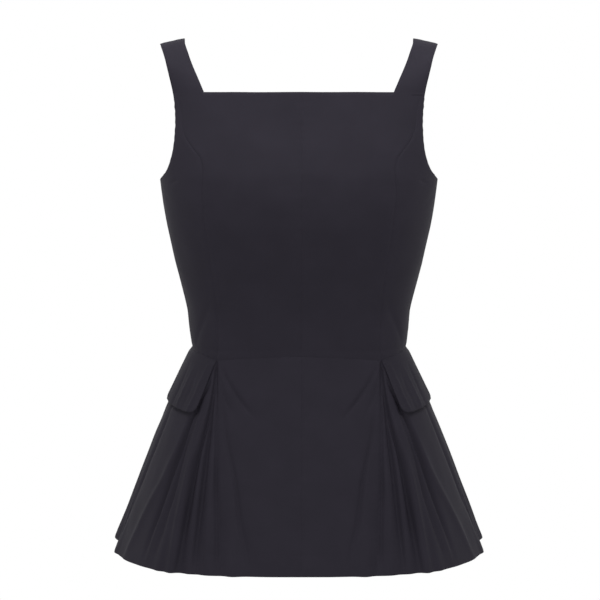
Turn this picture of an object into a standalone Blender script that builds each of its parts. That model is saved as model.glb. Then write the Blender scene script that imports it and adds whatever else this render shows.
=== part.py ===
"""A sleeveless top in dark woven cloth, with a fitted bodice, a flared peplum and a pair of flaps.

It hangs as it is worn: hollow, and open at the neck, the armholes and the hem. The cloth is a thin
wall. Each panel is a grid of points on one shared surface, so two panels that meet at a seam have
the same edge, and their walls stay parallel across the gap between them.

The origin is midway between the tops of the two straps. +Z is up, the front faces -Y, and +X is
the wearer's left. Heights are from the strap tops. Tables hold millimetres, and MM turns them
into metres.
"""

import math

import bpy
import numpy as np

MM = 0.001

# Cloth and seams
WALL = 1.2
FLAP_WALL = 1.4
SEAM_GAP = 0.36
FLAP_GAP = 0.45
FLAP_LIFT = 1.3

# Levels
NECK_HEIGHT = -64.9
BACK_NECK_HEIGHT = -75.0
UNDERARM_HEIGHT = -167.6
WAIST_HEIGHT = -367.1
SHOULDER_HEIGHT = -2.9
LEVEL_ABOVE_WAIST = 120.0

# The centre-front seam lies a little to the wearer's left
CENTRE_SEAM = 3.0

# How square the cross-sections are: 2 is an ellipse
FRONT_SQUARENESS = 2.6
BACK_SQUARENESS = 2.5


def table(columns, *rows):
    """The rows as one array for each named column."""
    return dict(zip(columns, np.array(rows, float).T))


# Cross-sections of the bodice
SECTIONS = table(
    ("height", "half_width", "front", "back"),
    (-400.0, 127.9, 90.5, 76.0),
    (-367.1, 127.9, 90.5, 76.0),
    (-360.0, 129.3, 91.0, 77.0),
    (-340.0, 131.8, 93.0, 80.0),
    (-324.0, 133.2, 95.5, 83.0),
    (-312.0, 135.5, 98.0, 85.5),
    (-288.0, 141.5, 103.0, 91.0),
    (-264.0, 147.7, 110.0, 97.0),
    (-240.0, 152.8, 116.5, 102.0),
    (-216.0, 157.9, 121.5, 106.0),
    (-192.0, 162.0, 123.0, 109.0),
    (-167.6, 165.3, 120.5, 110.0),
    (-140.0, 168.0, 112.5, 107.5),
    (-100.0, 170.0, 97.5, 99.5),
    (-64.0, 171.0, 86.0, 90.5),
)

# Seams and armhole edges of one half, seen from the front
FRONT_PRINCESS = table(
    ("height", "x"),
    (-400.0, 96.4),
    (-377.7, 96.4),
    (-359.8, 94.3),
    (-331.2, 95.2),
    (-295.8, 97.4),
    (-267.5, 101.4),
    (-232.5, 106.6),
    (-204.7, 109.9),
    (-177.0, 111.7),
    (-156.0, 110.9),
    (-141.7, 113.6),
    (-130.8, 121.4),
    (-118.5, 130.2),
    (-106.0, 134.8),
    (-92.0, 136.0),
    (-80.0, 138.0),
    (-72.5, 141.5),
    (-64.0, 148.0),
)
FRONT_ARMHOLE = table(
    ("height", "x"),
    (-161.4, 159.4),
    (-155.1, 154.6),
    (-147.9, 151.2),
    (-133.8, 147.0),
    (-119.9, 145.0),
    (-99.1, 144.0),
    (-78.3, 145.2),
    (-64.0, 146.9),
)
BACK_PRINCESS = table(
    ("height", "x"),
    (-400.0, 76.0),
    (-367.1, 76.0),
    (-330.0, 77.5),
    (-280.0, 82.0),
    (-230.0, 90.0),
    (-190.0, 98.0),
    (-165.0, 106.0),
    (-145.0, 118.0),
    (-132.0, 130.0),
    (-122.0, 141.0),
    (-113.0, 149.0),
)
BACK_ARMHOLE = table(
    ("height", "x"),
    (-161.4, 160.2),
    (-150.0, 154.6),
    (-135.0, 150.0),
    (-120.0, 147.8),
    (-105.0, 147.3),
    (-90.0, 148.6),
    (-75.0, 151.5),
)
FRONT_PRINCESS_TOP = -68.0
BACK_PRINCESS_TOP = -116.5

# Levels of the grid's rows, from the waist up, at the side seam
ROW_HEIGHTS = (
    (WAIST_HEIGHT, -350.0, -330.0, -308.0, -284.0, -258.0, -232.0, -208.0, -186.0)
    + (UNDERARM_HEIGHT, -166.6, -164.4, -161.4, -155.1, -147.9, -141.0, -132.0, -123.0)
    + (BACK_PRINCESS_TOP, -108.0, -96.0, -84.0, BACK_NECK_HEIGHT)
    + (FRONT_PRINCESS_TOP, NECK_HEIGHT)
)

# Straps, from the neckline (0) to the shoulder seam (1)
FRONT_STRAP = table(
    ("along", "inner", "outer"),
    (0.0, 110.4, 146.9),
    (0.15, 116.4, 149.0),
    (0.37, 125.0, 154.0),
    (0.5, 129.0, 156.8),
    (0.8, 135.4, 162.6),
    (1.0, 136.4, 164.8),
)
BACK_STRAP = table(
    ("along", "inner", "outer"),
    (0.0, 119.0, 151.5),
    (0.15, 123.5, 153.6),
    (0.37, 131.0, 157.8),
    (0.5, 134.0, 160.0),
    (0.8, 137.0, 163.4),
    (1.0, 136.4, 164.8),
)
STRAP_TILT = 0.228
STRAP_RISE = 29.0
STRAP_LEAN = 0.3
STRAP_CROWN = 34.0
STRAP_STEPS = 8

# Height of the waist seam by angle from the centre front
WAIST_SEAM = table(
    ("angle", "height"),
    (0.0, -370.8),
    (24.0, -373.8),
    (43.8, -377.7),
    (55.8, -373.1),
    (70.0, -369.8),
    (90.0, -367.1),
    (120.0, -368.6),
    (150.0, -370.0),
    (180.0, -370.0),
)

# The hem's outline from the centre front round to the centre back, without its folds
HEM_OUTLINE = table(
    ("x", "y", "height"),
    (0.0, -131.0, -621.2),
    (80.0, -129.5, -621.2),
    (108.0, -124.0, -621.2),
    (127.0, -118.5, -621.2),
    (146.0, -111.0, -621.2),
    (166.0, -96.5, -621.2),
    (186.0, -74.0, -621.2),
    (198.0, -54.0, -621.2),
    (209.0, -29.0, -621.0),
    (224.0, 16.0, -620.0),
    (228.0, 55.0, -618.0),
    (227.0, 88.0, -615.8),
    (211.0, 113.0, -615.4),
    (182.0, 125.0, -615.4),
    (141.0, 130.0, -615.8),
    (80.0, 132.0, -616.2),
    (0.0, 132.0, -616.2),
)

# Folds of one half, between the seams. Waist and hem are how far round each lies from the centre
# front, and lift is how far it stands out of the outline at the hem.
FOLD_COLUMNS = ("waist", "hem", "lift")
FRONT_FOLDS = table(
    FOLD_COLUMNS,
    (32.0, 30.0, 0.0),
    (66.0, 61.0, -2.0),
    (84.0, 77.0, 0.5),
)
SIDE_FRONT_FOLDS = table(
    FOLD_COLUMNS,
    (102.2, 107.0, 3.0),
    (103.8, 121.0, -3.5),
    (105.4, 131.0, 2.5),
    (107.0, 143.0, -5.0),
    (109.2, 155.0, 5.0),
    (111.0, 166.0, -1.0),
    (112.8, 175.0, 2.0),
    (115.8, 190.0, -5.0),
    (121.5, 220.0, 2.0),
    (130.5, 252.0, 5.0),
    (155.0, 281.0, -1.5),
)
SIDE_BACK_FOLDS = table(
    FOLD_COLUMNS,
    (196.0, 336.0, -8.0),
    (208.0, 371.0, 4.0),
    (219.0, 393.0, -6.0),
    (229.0, 413.0, 3.5),
    (238.0, 430.0, -5.0),
    (246.0, 447.0, 4.0),
    (253.0, 462.0, -4.0),
    (259.0, 477.0, 3.0),
    (264.0, 491.0, -3.0),
    (268.0, 505.0, 1.5),
)
BACK_FOLDS = table(
    FOLD_COLUMNS,
    (298.0, 550.0, 0.5),
    (325.0, 581.0, 0.0),
)
# Where the seams reach the hem, and how far they stand out there
SEAM_HEMS = table(
    ("hem", "lift"),
    (91.0, -2.5),
    (298.0, 2.0),
    (521.0, -1.5),
)
CENTRE_FRONT_ROW = 1
FRONT_SEAM_ROW = CENTRE_FRONT_ROW + len(FRONT_FOLDS["hem"]) + 1
SIDE_SEAM_ROW = FRONT_SEAM_ROW + len(SIDE_FRONT_FOLDS["hem"]) + 1
BACK_SEAM_ROW = SIDE_SEAM_ROW + len(SIDE_BACK_FOLDS["hem"]) + 1
CENTRE_BACK_ROW = BACK_SEAM_ROW + len(BACK_FOLDS["hem"]) + 1
FOLD_GROWTH = 1.9
PEPLUM_LEVELS = (0.0, 0.1, 0.2, 0.3, 0.42, 0.54, 0.66, 0.78, 0.9, 1.0)
PEPLUM_DEPTH = WAIST_HEIGHT - HEM_OUTLINE["height"][0]
HIP_SWELL = 4.0

# Pocket flap
FLAP_FRONT_X = (97.6, 123.0)
FLAP_BOTTOM = (0.262, 0.243)
FLAP_BACK_WAIST = 222.0
FLAP_WIDTH_GAIN = 4.0
FLAP_CORNER = 7.0

# Zip
ZIP_TAPE_WIDTH = 24.0
ZIP_TAPE_WALL = 1.0
ZIP_TOP = -78.0
ZIP_HIP_LEVEL = 0.3
SLIDER_HEIGHT = -83.0
SLIDER_LENGTH = 6.0
SLIDER_BASE = 1.5
SLIDER_EAR_INNER = 2.2
SLIDER_EAR_OUTER = 3.5
SLIDER_EAR_RISE = 2.7
PULL_BARREL = 0.9
PULL_BARREL_HALF = 1.9
PULL_NECK = 5.0
PULL_LENGTH = 24.0
PULL_HALF_WIDTH = 3.6
PULL_THICKNESS = 1.2
PULL_LEAN = math.radians(4)
BARREL_SIDES = 16
RUNNING_GAP = 0.4


def smooth(xs, ys, x):
    """A curve through the rows of a table that doesn't overshoot them."""
    step = np.diff(xs)
    slope = np.diff(ys) / step
    tangent = np.zeros(len(xs))
    product = slope[1:] * slope[:-1]
    total = np.where(product > 0, slope[1:] + slope[:-1], 1.0)
    tangent[1:-1] = np.where(product > 0, 2 * product / total, 0.0)
    tangent[0] = slope[0]
    tangent[-1] = slope[-1]
    row = np.clip(np.searchsorted(xs, x) - 1, 0, len(step) - 1)
    t = np.clip((x - xs[row]) / step[row], 0.0, 1.0)
    start = (1 + 2 * t) * (1 - t) ** 2 * ys[row] + t * (1 - t) ** 2 * step[row] * tangent[row]
    end = t**2 * (3 - 2 * t) * ys[row + 1] - t**2 * (1 - t) * step[row] * tangent[row + 1]
    return start + end


def read(rows, name, x):
    """One named column of a table, by the table's first column."""
    first = next(iter(rows))
    return smooth(rows[first], rows[name], np.asarray(x, float))


def lerp(a, b, t):
    return a + (b - a) * t


def unit(vectors):
    return vectors / np.linalg.norm(vectors, axis=-1, keepdims=True)


def signed_power(base, exponent):
    return np.sign(base) * np.abs(base) ** exponent


def squareness(angle):
    return np.where(np.cos(angle) >= 0, FRONT_SQUARENESS, BACK_SQUARENESS)


def body_depth(angle, height):
    front = read(SECTIONS, "front", height)
    back = read(SECTIONS, "back", height)
    return np.where(np.cos(angle) >= 0, front, back)


def body_point(angle, height):
    """A point of the bodice, by its angle from the centre front and its height."""
    power = 2 / squareness(angle)
    x = read(SECTIONS, "half_width", height) * signed_power(np.sin(angle), power)
    y = -body_depth(angle, height) * signed_power(np.cos(angle), power)
    return np.stack([x, y, np.broadcast_to(height, x.shape)], axis=-1)


def body_normal(angle, height):
    """The outward normal there, from the gradient of the cross-section's equation."""
    power = squareness(angle)
    step = 0.5
    point = body_point(angle, height)
    width = read(SECTIONS, "half_width", height)
    depth = body_depth(angle, height)
    widening = read(SECTIONS, "half_width", height + step) - read(SECTIONS, "half_width", height - step)
    deepening = body_depth(angle, height + step) - body_depth(angle, height - step)
    across = np.abs(point[..., 0] / width)
    along = np.abs(point[..., 1] / depth)
    normal_x = np.sign(point[..., 0]) * across ** (power - 1) / width
    normal_y = np.sign(point[..., 1]) * along ** (power - 1) / depth
    fall = across**power * widening / width + along**power * deepening / depth
    return unit(np.stack([normal_x, normal_y, -fall / (2 * step)], axis=-1))


def angle_at(x, height, back=False):
    """The angle of the point of a cross-section that lies x from the centre plane."""
    power = BACK_SQUARENESS if back else FRONT_SQUARENESS
    share = np.clip(x / read(SECTIONS, "half_width", height), -1.0, 1.0)
    angle = np.arcsin(signed_power(share, power / 2))
    return math.pi - angle if back else angle


def armhole_angle(height, back=False):
    """The armhole's edge: its table down to the turn, and a quarter of an ellipse under the arm."""
    edge = BACK_ARMHOLE if back else FRONT_ARMHOLE
    turn = edge["height"][0]
    upper = angle_at(read(edge, "x", height), height, back)
    turn_depth = abs(body_point(angle_at(edge["x"][0], turn, back), turn)[1])
    below = np.clip((turn - height) / (turn - UNDERARM_HEIGHT), 0.0, 1.0)
    power = BACK_SQUARENESS if back else FRONT_SQUARENESS
    depth = body_depth(math.pi if back else 0.0, height)
    share = np.clip(turn_depth * np.sqrt(1 - below**2) / depth, 0.0, 1.0)
    lower = np.arccos(share ** (power / 2))
    lower = math.pi - lower if back else lower
    return np.where(height >= turn, upper, lower)


def side_angle(back):
    """The side seam, half the seam's gap to one side of it."""
    power = BACK_SQUARENESS if back else FRONT_SQUARENESS
    depth = SECTIONS["back" if back else "front"].min()
    angle = math.acos((SEAM_GAP / 2 / depth) ** (power / 2))
    return math.pi - angle if back else angle


def waist_height(angle):
    degrees = np.degrees(angle)
    return np.interp(np.abs(degrees), WAIST_SEAM["angle"], WAIST_SEAM["height"])


def row_height(angle, nominal):
    """A row's height at an angle: rows follow the waist seam's dip near it and are level above."""
    above = np.clip(1 - (nominal - WAIST_HEIGHT) / LEVEL_ABOVE_WAIST, 0.0, 1.0)
    lowest = SEAM_GAP / 2 * (nominal == ROW_HEIGHTS[0])
    return nominal + (waist_height(angle) - WAIST_HEIGHT) * above + lowest


def bodice_grid(nominals, left_angle, right_angle, shares):
    """Points and normals of a bodice panel. The two edges are functions of the row's level."""
    points = []
    normals = []
    for nominal in nominals:
        angles = lerp(left_angle(nominal), right_angle(nominal), shares)
        heights = row_height(angles, nominal)
        points.append(body_point(angles, heights))
        normals.append(body_normal(angles, heights))
    return np.array(points), np.array(normals)


def seam_angle(seam, nominal, offset, back=False):
    """The angle of a princess seam on a row, with its gap's half as an offset in x."""
    guess = angle_at(read(seam, "x", nominal), nominal, back)
    height = row_height(guess, nominal)
    return angle_at(read(seam, "x", height) + offset, height, back)


def strap_path(base, along):
    """The middle of a strap, over the shoulder from its base (y, z) to the shoulder seam."""
    sign = math.copysign(1.0, base[0])
    controls = (
        np.array(base),
        np.array([base[0] - sign * STRAP_LEAN * STRAP_RISE, base[1] + STRAP_RISE]),
        np.array([sign * STRAP_CROWN, SHOULDER_HEIGHT]),
        np.array([sign * SEAM_GAP / 2, SHOULDER_HEIGHT]),
    )
    weights = ((1 - along) ** 3, 3 * along * (1 - along) ** 2, 3 * along**2 * (1 - along), along**3)
    return sum(weight * control for weight, control in zip(weights, controls))


def strap_point(strap, neck_height, along, share, back):
    """A point of a strap, by how far along and across it lies."""
    inner = read(strap, "inner", along)
    outer = read(strap, "outer", along)
    x = lerp(inner, outer, share)
    base_x = lerp(strap["inner"][0], strap["outer"][0], np.array([share, 0.5]))
    base = body_point(angle_at(base_x, neck_height, back), neck_height)
    y, z = strap_path((base[1, 1], neck_height), along)
    y = y + (base[0, 1] - base[1, 1]) * (1 - along) ** 2
    z = z - STRAP_TILT * along * (x - (inner + outer) / 2)
    return np.array([x, y, z])


def strap_grid(strap, neck_height, shares, back):
    """Points and normals of a strap above the neckline, row by row up to the shoulder seam."""
    points = []
    normals = []
    step = 0.01
    for along in np.linspace(0, 1, STRAP_STEPS + 1)[1:]:
        low, high = max(along - step, 0.0), min(along + step, 1.0)
        row = []
        facing = []
        for share in shares:
            across = strap_point(strap, neck_height, along, share + step, back)
            across = across - strap_point(strap, neck_height, along, share - step, back)
            upward = strap_point(strap, neck_height, high, share, back)
            upward = upward - strap_point(strap, neck_height, low, share, back)
            row.append(strap_point(strap, neck_height, along, share, back))
            facing.append(np.cross(across, upward) * (-1 if back else 1))
        points.append(row)
        normals.append(facing)
    return np.array(points), unit(np.array(normals))


def waist_arc():
    """Angles round half the waist from the centre front, and the arc length to each."""
    angles = np.linspace(0, math.pi, 2001)
    points = body_point(angles, waist_height(angles))
    lengths = np.linalg.norm(np.diff(points, axis=0), axis=1)
    return angles, np.concatenate([[0.0], np.cumsum(lengths)])


def hem_arc():
    """Points round half the hem's outline from the centre front, and the arc length to each."""
    corners = np.stack([HEM_OUTLINE["x"], HEM_OUTLINE["y"], HEM_OUTLINE["height"]], axis=1)
    # A mirrored point past each end keeps the curve square to the centre plane.
    mirror = np.array([-1.0, 1.0, 1.0])
    corners = np.concatenate([corners[1:2] * mirror, corners, corners[-2:-1] * mirror])
    points = [corners[1]]
    for before, start, end, after in zip(corners, corners[1:], corners[2:], corners[3:]):
        reach = np.linalg.norm(end - start)
        leave = (end - before) / (reach + np.linalg.norm(start - before)) * reach
        arrive = (after - start) / (reach + np.linalg.norm(after - end)) * reach
        for t in np.linspace(0, 1, 41)[1:]:
            first = (1 + 2 * t) * (1 - t) ** 2 * start + t * (1 - t) ** 2 * leave
            last = t**2 * (3 - 2 * t) * end - t**2 * (1 - t) * arrive
            points.append(first + last)
    points = np.array(points)
    lengths = np.linalg.norm(np.diff(points, axis=0), axis=1)
    return points, np.concatenate([[0.0], np.cumsum(lengths)])


WAIST_ANGLES, WAIST_LENGTHS = waist_arc()
HEM_POINTS, HEM_LENGTHS = hem_arc()


def fold_table():
    """All the folds of a half in order, with the seams and the two centre lines between them."""
    seam_waists = (
        angle_at(FRONT_PRINCESS["x"][0], WAIST_HEIGHT),
        math.pi / 2,
        angle_at(BACK_PRINCESS["x"][0], WAIST_HEIGHT, back=True),
    )
    columns = {}
    for name in FOLD_COLUMNS:
        if name == "waist":
            seams = np.interp(seam_waists, WAIST_ANGLES, WAIST_LENGTHS)
            total = WAIST_LENGTHS[-1]
        else:
            seams = SEAM_HEMS[name]
            total = HEM_LENGTHS[-1] if name == "hem" else 0.0
        # A mirrored fold past each centre line keeps the cloth smooth across it.
        parity = 1.0 if name == "lift" else -1.0
        before = parity * FRONT_FOLDS[name][:1]
        after = 2 * total + parity * BACK_FOLDS[name][-1:]
        parts = (before, [0.0], FRONT_FOLDS[name], seams[:1], SIDE_FRONT_FOLDS[name], seams[1:2])
        parts += (SIDE_BACK_FOLDS[name], seams[2:], BACK_FOLDS[name], [total], after)
        columns[name] = np.concatenate(parts)
    return columns


FOLDS = fold_table()
FOLD_ROWS = np.arange(len(FOLDS["hem"]), dtype=float)


def fold_value(name, row):
    return smooth(FOLD_ROWS, FOLDS[name], row)


def on_hem(length):
    """A point of the hem's outline and the outline's outward direction there, by arc length."""
    sign = np.sign(length) + (length == 0)
    beyond = np.abs(length) > HEM_LENGTHS[-1]
    wrapped = np.where(beyond, 2 * HEM_LENGTHS[-1] - np.abs(length), np.abs(length))
    side = sign * np.where(beyond, -1.0, 1.0)
    place = np.stack([np.interp(wrapped, HEM_LENGTHS, HEM_POINTS[:, i]) for i in range(3)], axis=-1)
    step = 1.0
    ahead = [np.interp(wrapped + step, HEM_LENGTHS, HEM_POINTS[:, i]) for i in range(2)]
    behind = [np.interp(wrapped - step, HEM_LENGTHS, HEM_POINTS[:, i]) for i in range(2)]
    outward = np.stack(
        [ahead[1] - behind[1], behind[0] - ahead[0], np.zeros_like(wrapped)], axis=-1
    )
    place[..., 0] = place[..., 0] * side
    outward[..., 0] = outward[..., 0] * side
    return place, unit(outward)


def on_waist(length):
    """A point of the waist seam, by arc length from the centre front."""
    beyond = length > WAIST_LENGTHS[-1]
    wrapped = np.where(beyond, 2 * WAIST_LENGTHS[-1] - length, np.abs(length))
    angles = np.interp(wrapped, WAIST_LENGTHS, WAIST_ANGLES)
    point = body_point(angles, waist_height(angles))
    point[..., 0] = point[..., 0] * np.where(beyond | (length < 0), -1.0, 1.0)
    return point


def peplum_point(row, level):
    """A point of the peplum, by its place among the folds and its share of the way to the hem."""
    row, level = np.broadcast_arrays(np.asarray(row, float), np.asarray(level, float))
    waist = on_waist(fold_value("waist", row))
    hem, outward = on_hem(fold_value("hem", row))
    share = level[..., None]
    lift = fold_value("lift", row) * np.maximum(level, 0.0) ** FOLD_GROWTH
    swell = HIP_SWELL * 27 / 4 * level * (1 - level) ** 2
    return lerp(waist, hem, share) + outward * (lift + swell)[..., None]


def peplum_normal(row, level):
    """The peplum's outward normal, from its own slopes."""
    step = 0.02
    across = peplum_point(row + step, level) - peplum_point(row - step, level)
    down = peplum_point(row, level + step) - peplum_point(row, level - step)
    return unit(np.cross(down, across))


def peplum_row_at(x, level):
    """The place among the front folds of the point that lies x from the centre plane."""
    rows = np.linspace(0, SIDE_SEAM_ROW, 1701)
    xs = peplum_point(rows, level)[:, 0]
    return np.interp(x, xs, rows)


def peplum_seam(row, level, offset):
    """A place beside a seam, offset along the cloth."""
    step = 0.01
    reach = np.linalg.norm(peplum_point(row + step, level) - peplum_point(row - step, level))
    return row + offset * 2 * step / reach


def flap_grid():
    """Points and normals of the peplum under the flap, over its own rows and columns."""
    dense = np.linspace(FRONT_SEAM_ROW - 1, BACK_SEAM_ROW, 2001)
    top_front = np.interp(peplum_row_at(FLAP_FRONT_X[0], 0.0), FOLD_ROWS, FOLDS["waist"])
    width = FLAP_BACK_WAIST - top_front
    corner = FLAP_CORNER / width
    ends = corner * (1 - np.cos(np.linspace(0, math.pi / 2, 4)))
    middle = np.linspace(corner, 1 - corner, 13)
    columns = np.concatenate([ends, middle[1:-1], 1 - ends[::-1]])
    steps = np.linspace(0, 1, 6)
    points = []
    normals = []
    for step in steps:
        rows = []
        levels = []
        for column in columns:
            nearest = min(column, 1 - column)
            inside = np.clip(1 - nearest / corner, 0.0, 1.0)
            drop = lerp(*FLAP_BOTTOM, column)
            cut = FLAP_CORNER / PEPLUM_DEPTH * (1 - math.sqrt(1 - inside**2))
            level = SEAM_GAP / 2 / PEPLUM_DEPTH + (drop - cut) * step
            front_row = peplum_row_at(lerp(*FLAP_FRONT_X, level / FLAP_BOTTOM[0]), level)
            girth = lerp(fold_value("waist", dense), fold_value("hem", dense), level)
            start = np.interp(front_row, dense, girth)
            reach = width + FLAP_WIDTH_GAIN * step
            rows.append(np.interp(start + reach * column, girth, dense))
            levels.append(level)
        points.append(peplum_point(np.array(rows), np.array(levels)))
        normals.append(peplum_normal(np.array(rows), np.array(levels)))
    proud = FLAP_GAP + FLAP_LIFT * steps[:, None, None] ** 2
    points = np.array(points)
    normals = np.array(normals)
    return points + normals * (FLAP_WALL + proud), normals


def material(name, color, roughness, metallic=0.0):
    made = bpy.data.materials.new(name)
    made.use_nodes = True
    shader = made.node_tree.nodes["Principled BSDF"]
    shader.inputs["Base Color"].default_value = (*color, 1.0)
    shader.inputs["Roughness"].default_value = roughness
    shader.inputs["Metallic"].default_value = metallic
    made.diffuse_color = (*color, 1.0)
    return made


def make_object(name, points, faces, look, origin=(0.0, 0.0, 0.0)):
    """An object from points in millimetres, with its faces turned outward."""
    mesh = bpy.data.meshes.new(name)
    places = (np.asarray(points) - np.asarray(origin)) * MM
    mesh.from_pydata([tuple(place) for place in places], [], faces)
    mesh.update()
    mesh.shade_smooth()
    mesh.set_sharp_from_angle(angle=math.radians(40))
    mesh.materials.append(look)
    made = bpy.data.objects.new(name, mesh)
    made.location = [value * MM for value in origin]
    bpy.context.scene.collection.objects.link(made)
    return made


def cloth(name, outer, normals, side, look, cells=None, wall=WALL):
    """A closed wall of cloth under a grid of outer points. Only the marked cells are filled."""
    rows, columns = outer.shape[:2]
    if cells is None:
        cells = np.ones((rows - 1, columns - 1), bool)
    mirror = np.array([side, 1.0, 1.0])
    inner = outer - normals * wall
    points = np.concatenate([outer.reshape(-1, 3), inner.reshape(-1, 3)]) * mirror
    count = rows * columns
    faces = []
    border = {}
    for row, column in zip(*np.nonzero(cells)):
        a = row * columns + column
        corners = (a, a + 1, a + columns + 1, a + columns)
        faces.append(corners)
        faces.append(tuple(corner + count for corner in reversed(corners)))
        for start, end in zip(corners, corners[1:] + corners[:1]):
            if (end, start) in border:
                del border[end, start]
            else:
                border[start, end] = True
    for start, end in border:
        faces.append((end, start, start + count, end + count))
    if side < 0:
        faces = [tuple(reversed(face)) for face in faces]
    used = sorted({int(corner) for face in faces for corner in face})
    place = {corner: index for index, corner in enumerate(used)}
    faces = [tuple(place[int(corner)] for corner in face) for face in faces]
    return make_object(name, points[used], faces, look)


def bodice_front(side, look):
    """A front panel, cut in one with its strap."""
    split = FRONT_STRAP["inner"][0] / FRONT_STRAP["outer"][0]
    body_shares = np.linspace(0, split, 10)
    strap_shares = np.linspace(split, 1, 5)
    shares = np.concatenate([body_shares, strap_shares[1:]])
    points = []
    normals = []
    for nominal in ROW_HEIGHTS:
        start = side * CENTRE_SEAM + SEAM_GAP / 2
        if nominal <= FRONT_PRINCESS_TOP:
            edge_angle = seam_angle(FRONT_PRINCESS, nominal, -SEAM_GAP / 2)
        else:
            edge_angle = armhole_angle(nominal)
        end = body_point(edge_angle, row_height(edge_angle, nominal))[0]
        xs = lerp(start, end, shares)
        angles = angle_at(xs, nominal)
        heights = row_height(angles, nominal)
        angles = angle_at(xs, heights)
        points.append(body_point(angles, heights))
        normals.append(body_normal(angles, heights))
    strap_points, strap_normals = strap_grid(
        FRONT_STRAP, NECK_HEIGHT, (strap_shares - split) / (1 - split), False
    )
    filler = np.repeat(strap_points[:, :1], len(body_shares) - 1, axis=1)
    points = np.concatenate([points, np.concatenate([filler, strap_points], axis=1)])
    filler = np.repeat(strap_normals[:, :1], len(body_shares) - 1, axis=1)
    normals = np.concatenate([normals, np.concatenate([filler, strap_normals], axis=1)])
    cells = np.ones((len(points) - 1, len(shares) - 1), bool)
    cells[len(ROW_HEIGHTS) - 1 :, : len(body_shares) - 1] = False
    name = "bodice_front_left" if side > 0 else "bodice_front_right"
    return cloth(name, points, normals, side, look, cells)


def bodice_back(side, look):
    """A back panel, cut in one with its strap."""
    split = BACK_STRAP["inner"][0] / BACK_STRAP["outer"][0]
    strap_shares = np.linspace(split, 1, 5)
    body_shares = np.linspace(0, split, 8)
    shares = np.concatenate([body_shares, strap_shares[1:]])
    levels = [level for level in ROW_HEIGHTS if level <= BACK_NECK_HEIGHT]
    points = []
    normals = []
    for nominal in levels:
        if nominal <= BACK_PRINCESS_TOP:
            edge_angle = seam_angle(BACK_PRINCESS, nominal, -SEAM_GAP / 2, back=True)
        else:
            edge_angle = armhole_angle(nominal, back=True)
        end = body_point(edge_angle, row_height(edge_angle, nominal))[0]
        xs = lerp(SEAM_GAP / 2, end, shares)
        heights = row_height(angle_at(xs, nominal, back=True), nominal)
        angles = angle_at(xs, heights, back=True)
        points.append(body_point(angles, heights))
        normals.append(body_normal(angles, heights))
    strap_points, strap_normals = strap_grid(
        BACK_STRAP, BACK_NECK_HEIGHT, (strap_shares - split) / (1 - split), True
    )
    filler = np.repeat(strap_points[:, :1], len(body_shares) - 1, axis=1)
    points = np.concatenate([points, np.concatenate([filler, strap_points], axis=1)])
    filler = np.repeat(strap_normals[:, :1], len(body_shares) - 1, axis=1)
    normals = np.concatenate([normals, np.concatenate([filler, strap_normals], axis=1)])
    cells = np.ones((len(points) - 1, len(shares) - 1), bool)
    cells[len(levels) - 1 :, : len(body_shares) - 1] = False
    name = "bodice_back_left" if side > 0 else "bodice_back_right"
    # Columns run from the centre outward, so the grid faces in until it is turned round.
    return cloth(name, points[:, ::-1], normals[:, ::-1], side, look, cells[:, ::-1])


def bodice_side(side, look, back):
    """A side panel, between a princess seam, the side seam and the armhole."""
    top = BACK_PRINCESS_TOP if back else FRONT_PRINCESS_TOP
    seam = BACK_PRINCESS if back else FRONT_PRINCESS
    levels = [level for level in ROW_HEIGHTS if level <= top]

    def princess(nominal):
        return seam_angle(seam, nominal, SEAM_GAP / 2, back)

    def outer(nominal):
        if nominal <= UNDERARM_HEIGHT:
            return side_angle(back)
        angle = armhole_angle(nominal, back)
        return max(angle, side_angle(back)) if back else min(angle, side_angle(back))

    shares = np.linspace(0, 1, 8)
    edges = (outer, princess) if back else (princess, outer)
    points, normals = bodice_grid(levels, *edges, shares)
    place = "back" if back else "front"
    name = f"bodice_side_{place}_" + ("left" if side > 0 else "right")
    return cloth(name, points, normals, side, look)


def peplum_panel(name, side, look, first, last, per_fold):
    """A peplum panel between two rows of the table of folds."""
    count = (last - first) * per_fold + 1
    points = []
    normals = []
    for level in reversed(PEPLUM_LEVELS):
        dropped = max(level, SEAM_GAP / 2 / PEPLUM_DEPTH)
        if first == CENTRE_FRONT_ROW:
            start = peplum_row_at(side * CENTRE_SEAM + SEAM_GAP / 2, dropped)
        else:
            start = peplum_seam(first, dropped, SEAM_GAP / 2)
        end = peplum_seam(last, dropped, -SEAM_GAP / 2)
        rows = np.linspace(first, last, count)
        rows[0] = start
        rows[-1] = end
        points.append(peplum_point(rows, dropped))
        normals.append(peplum_normal(rows, dropped))
    return cloth(name, np.array(points), np.array(normals), side, look)


def peplum(side, look):
    suffix = "left" if side > 0 else "right"
    spans = (
        ("front", CENTRE_FRONT_ROW, FRONT_SEAM_ROW, 2),
        ("side_front", FRONT_SEAM_ROW, SIDE_SEAM_ROW, 2),
        ("side_back", SIDE_SEAM_ROW, BACK_SEAM_ROW, 2),
        ("back", BACK_SEAM_ROW, CENTRE_BACK_ROW, 2),
    )
    for place, first, last, per_fold in spans:
        peplum_panel(f"peplum_{place}_{suffix}", side, look, first, last, per_fold)


def pocket_flap(side, look):
    outer, normals = flap_grid()
    name = "pocket_flap_left" if side > 0 else "pocket_flap_right"
    return cloth(name, outer[::-1], normals[::-1], side, look, wall=FLAP_WALL)


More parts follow.
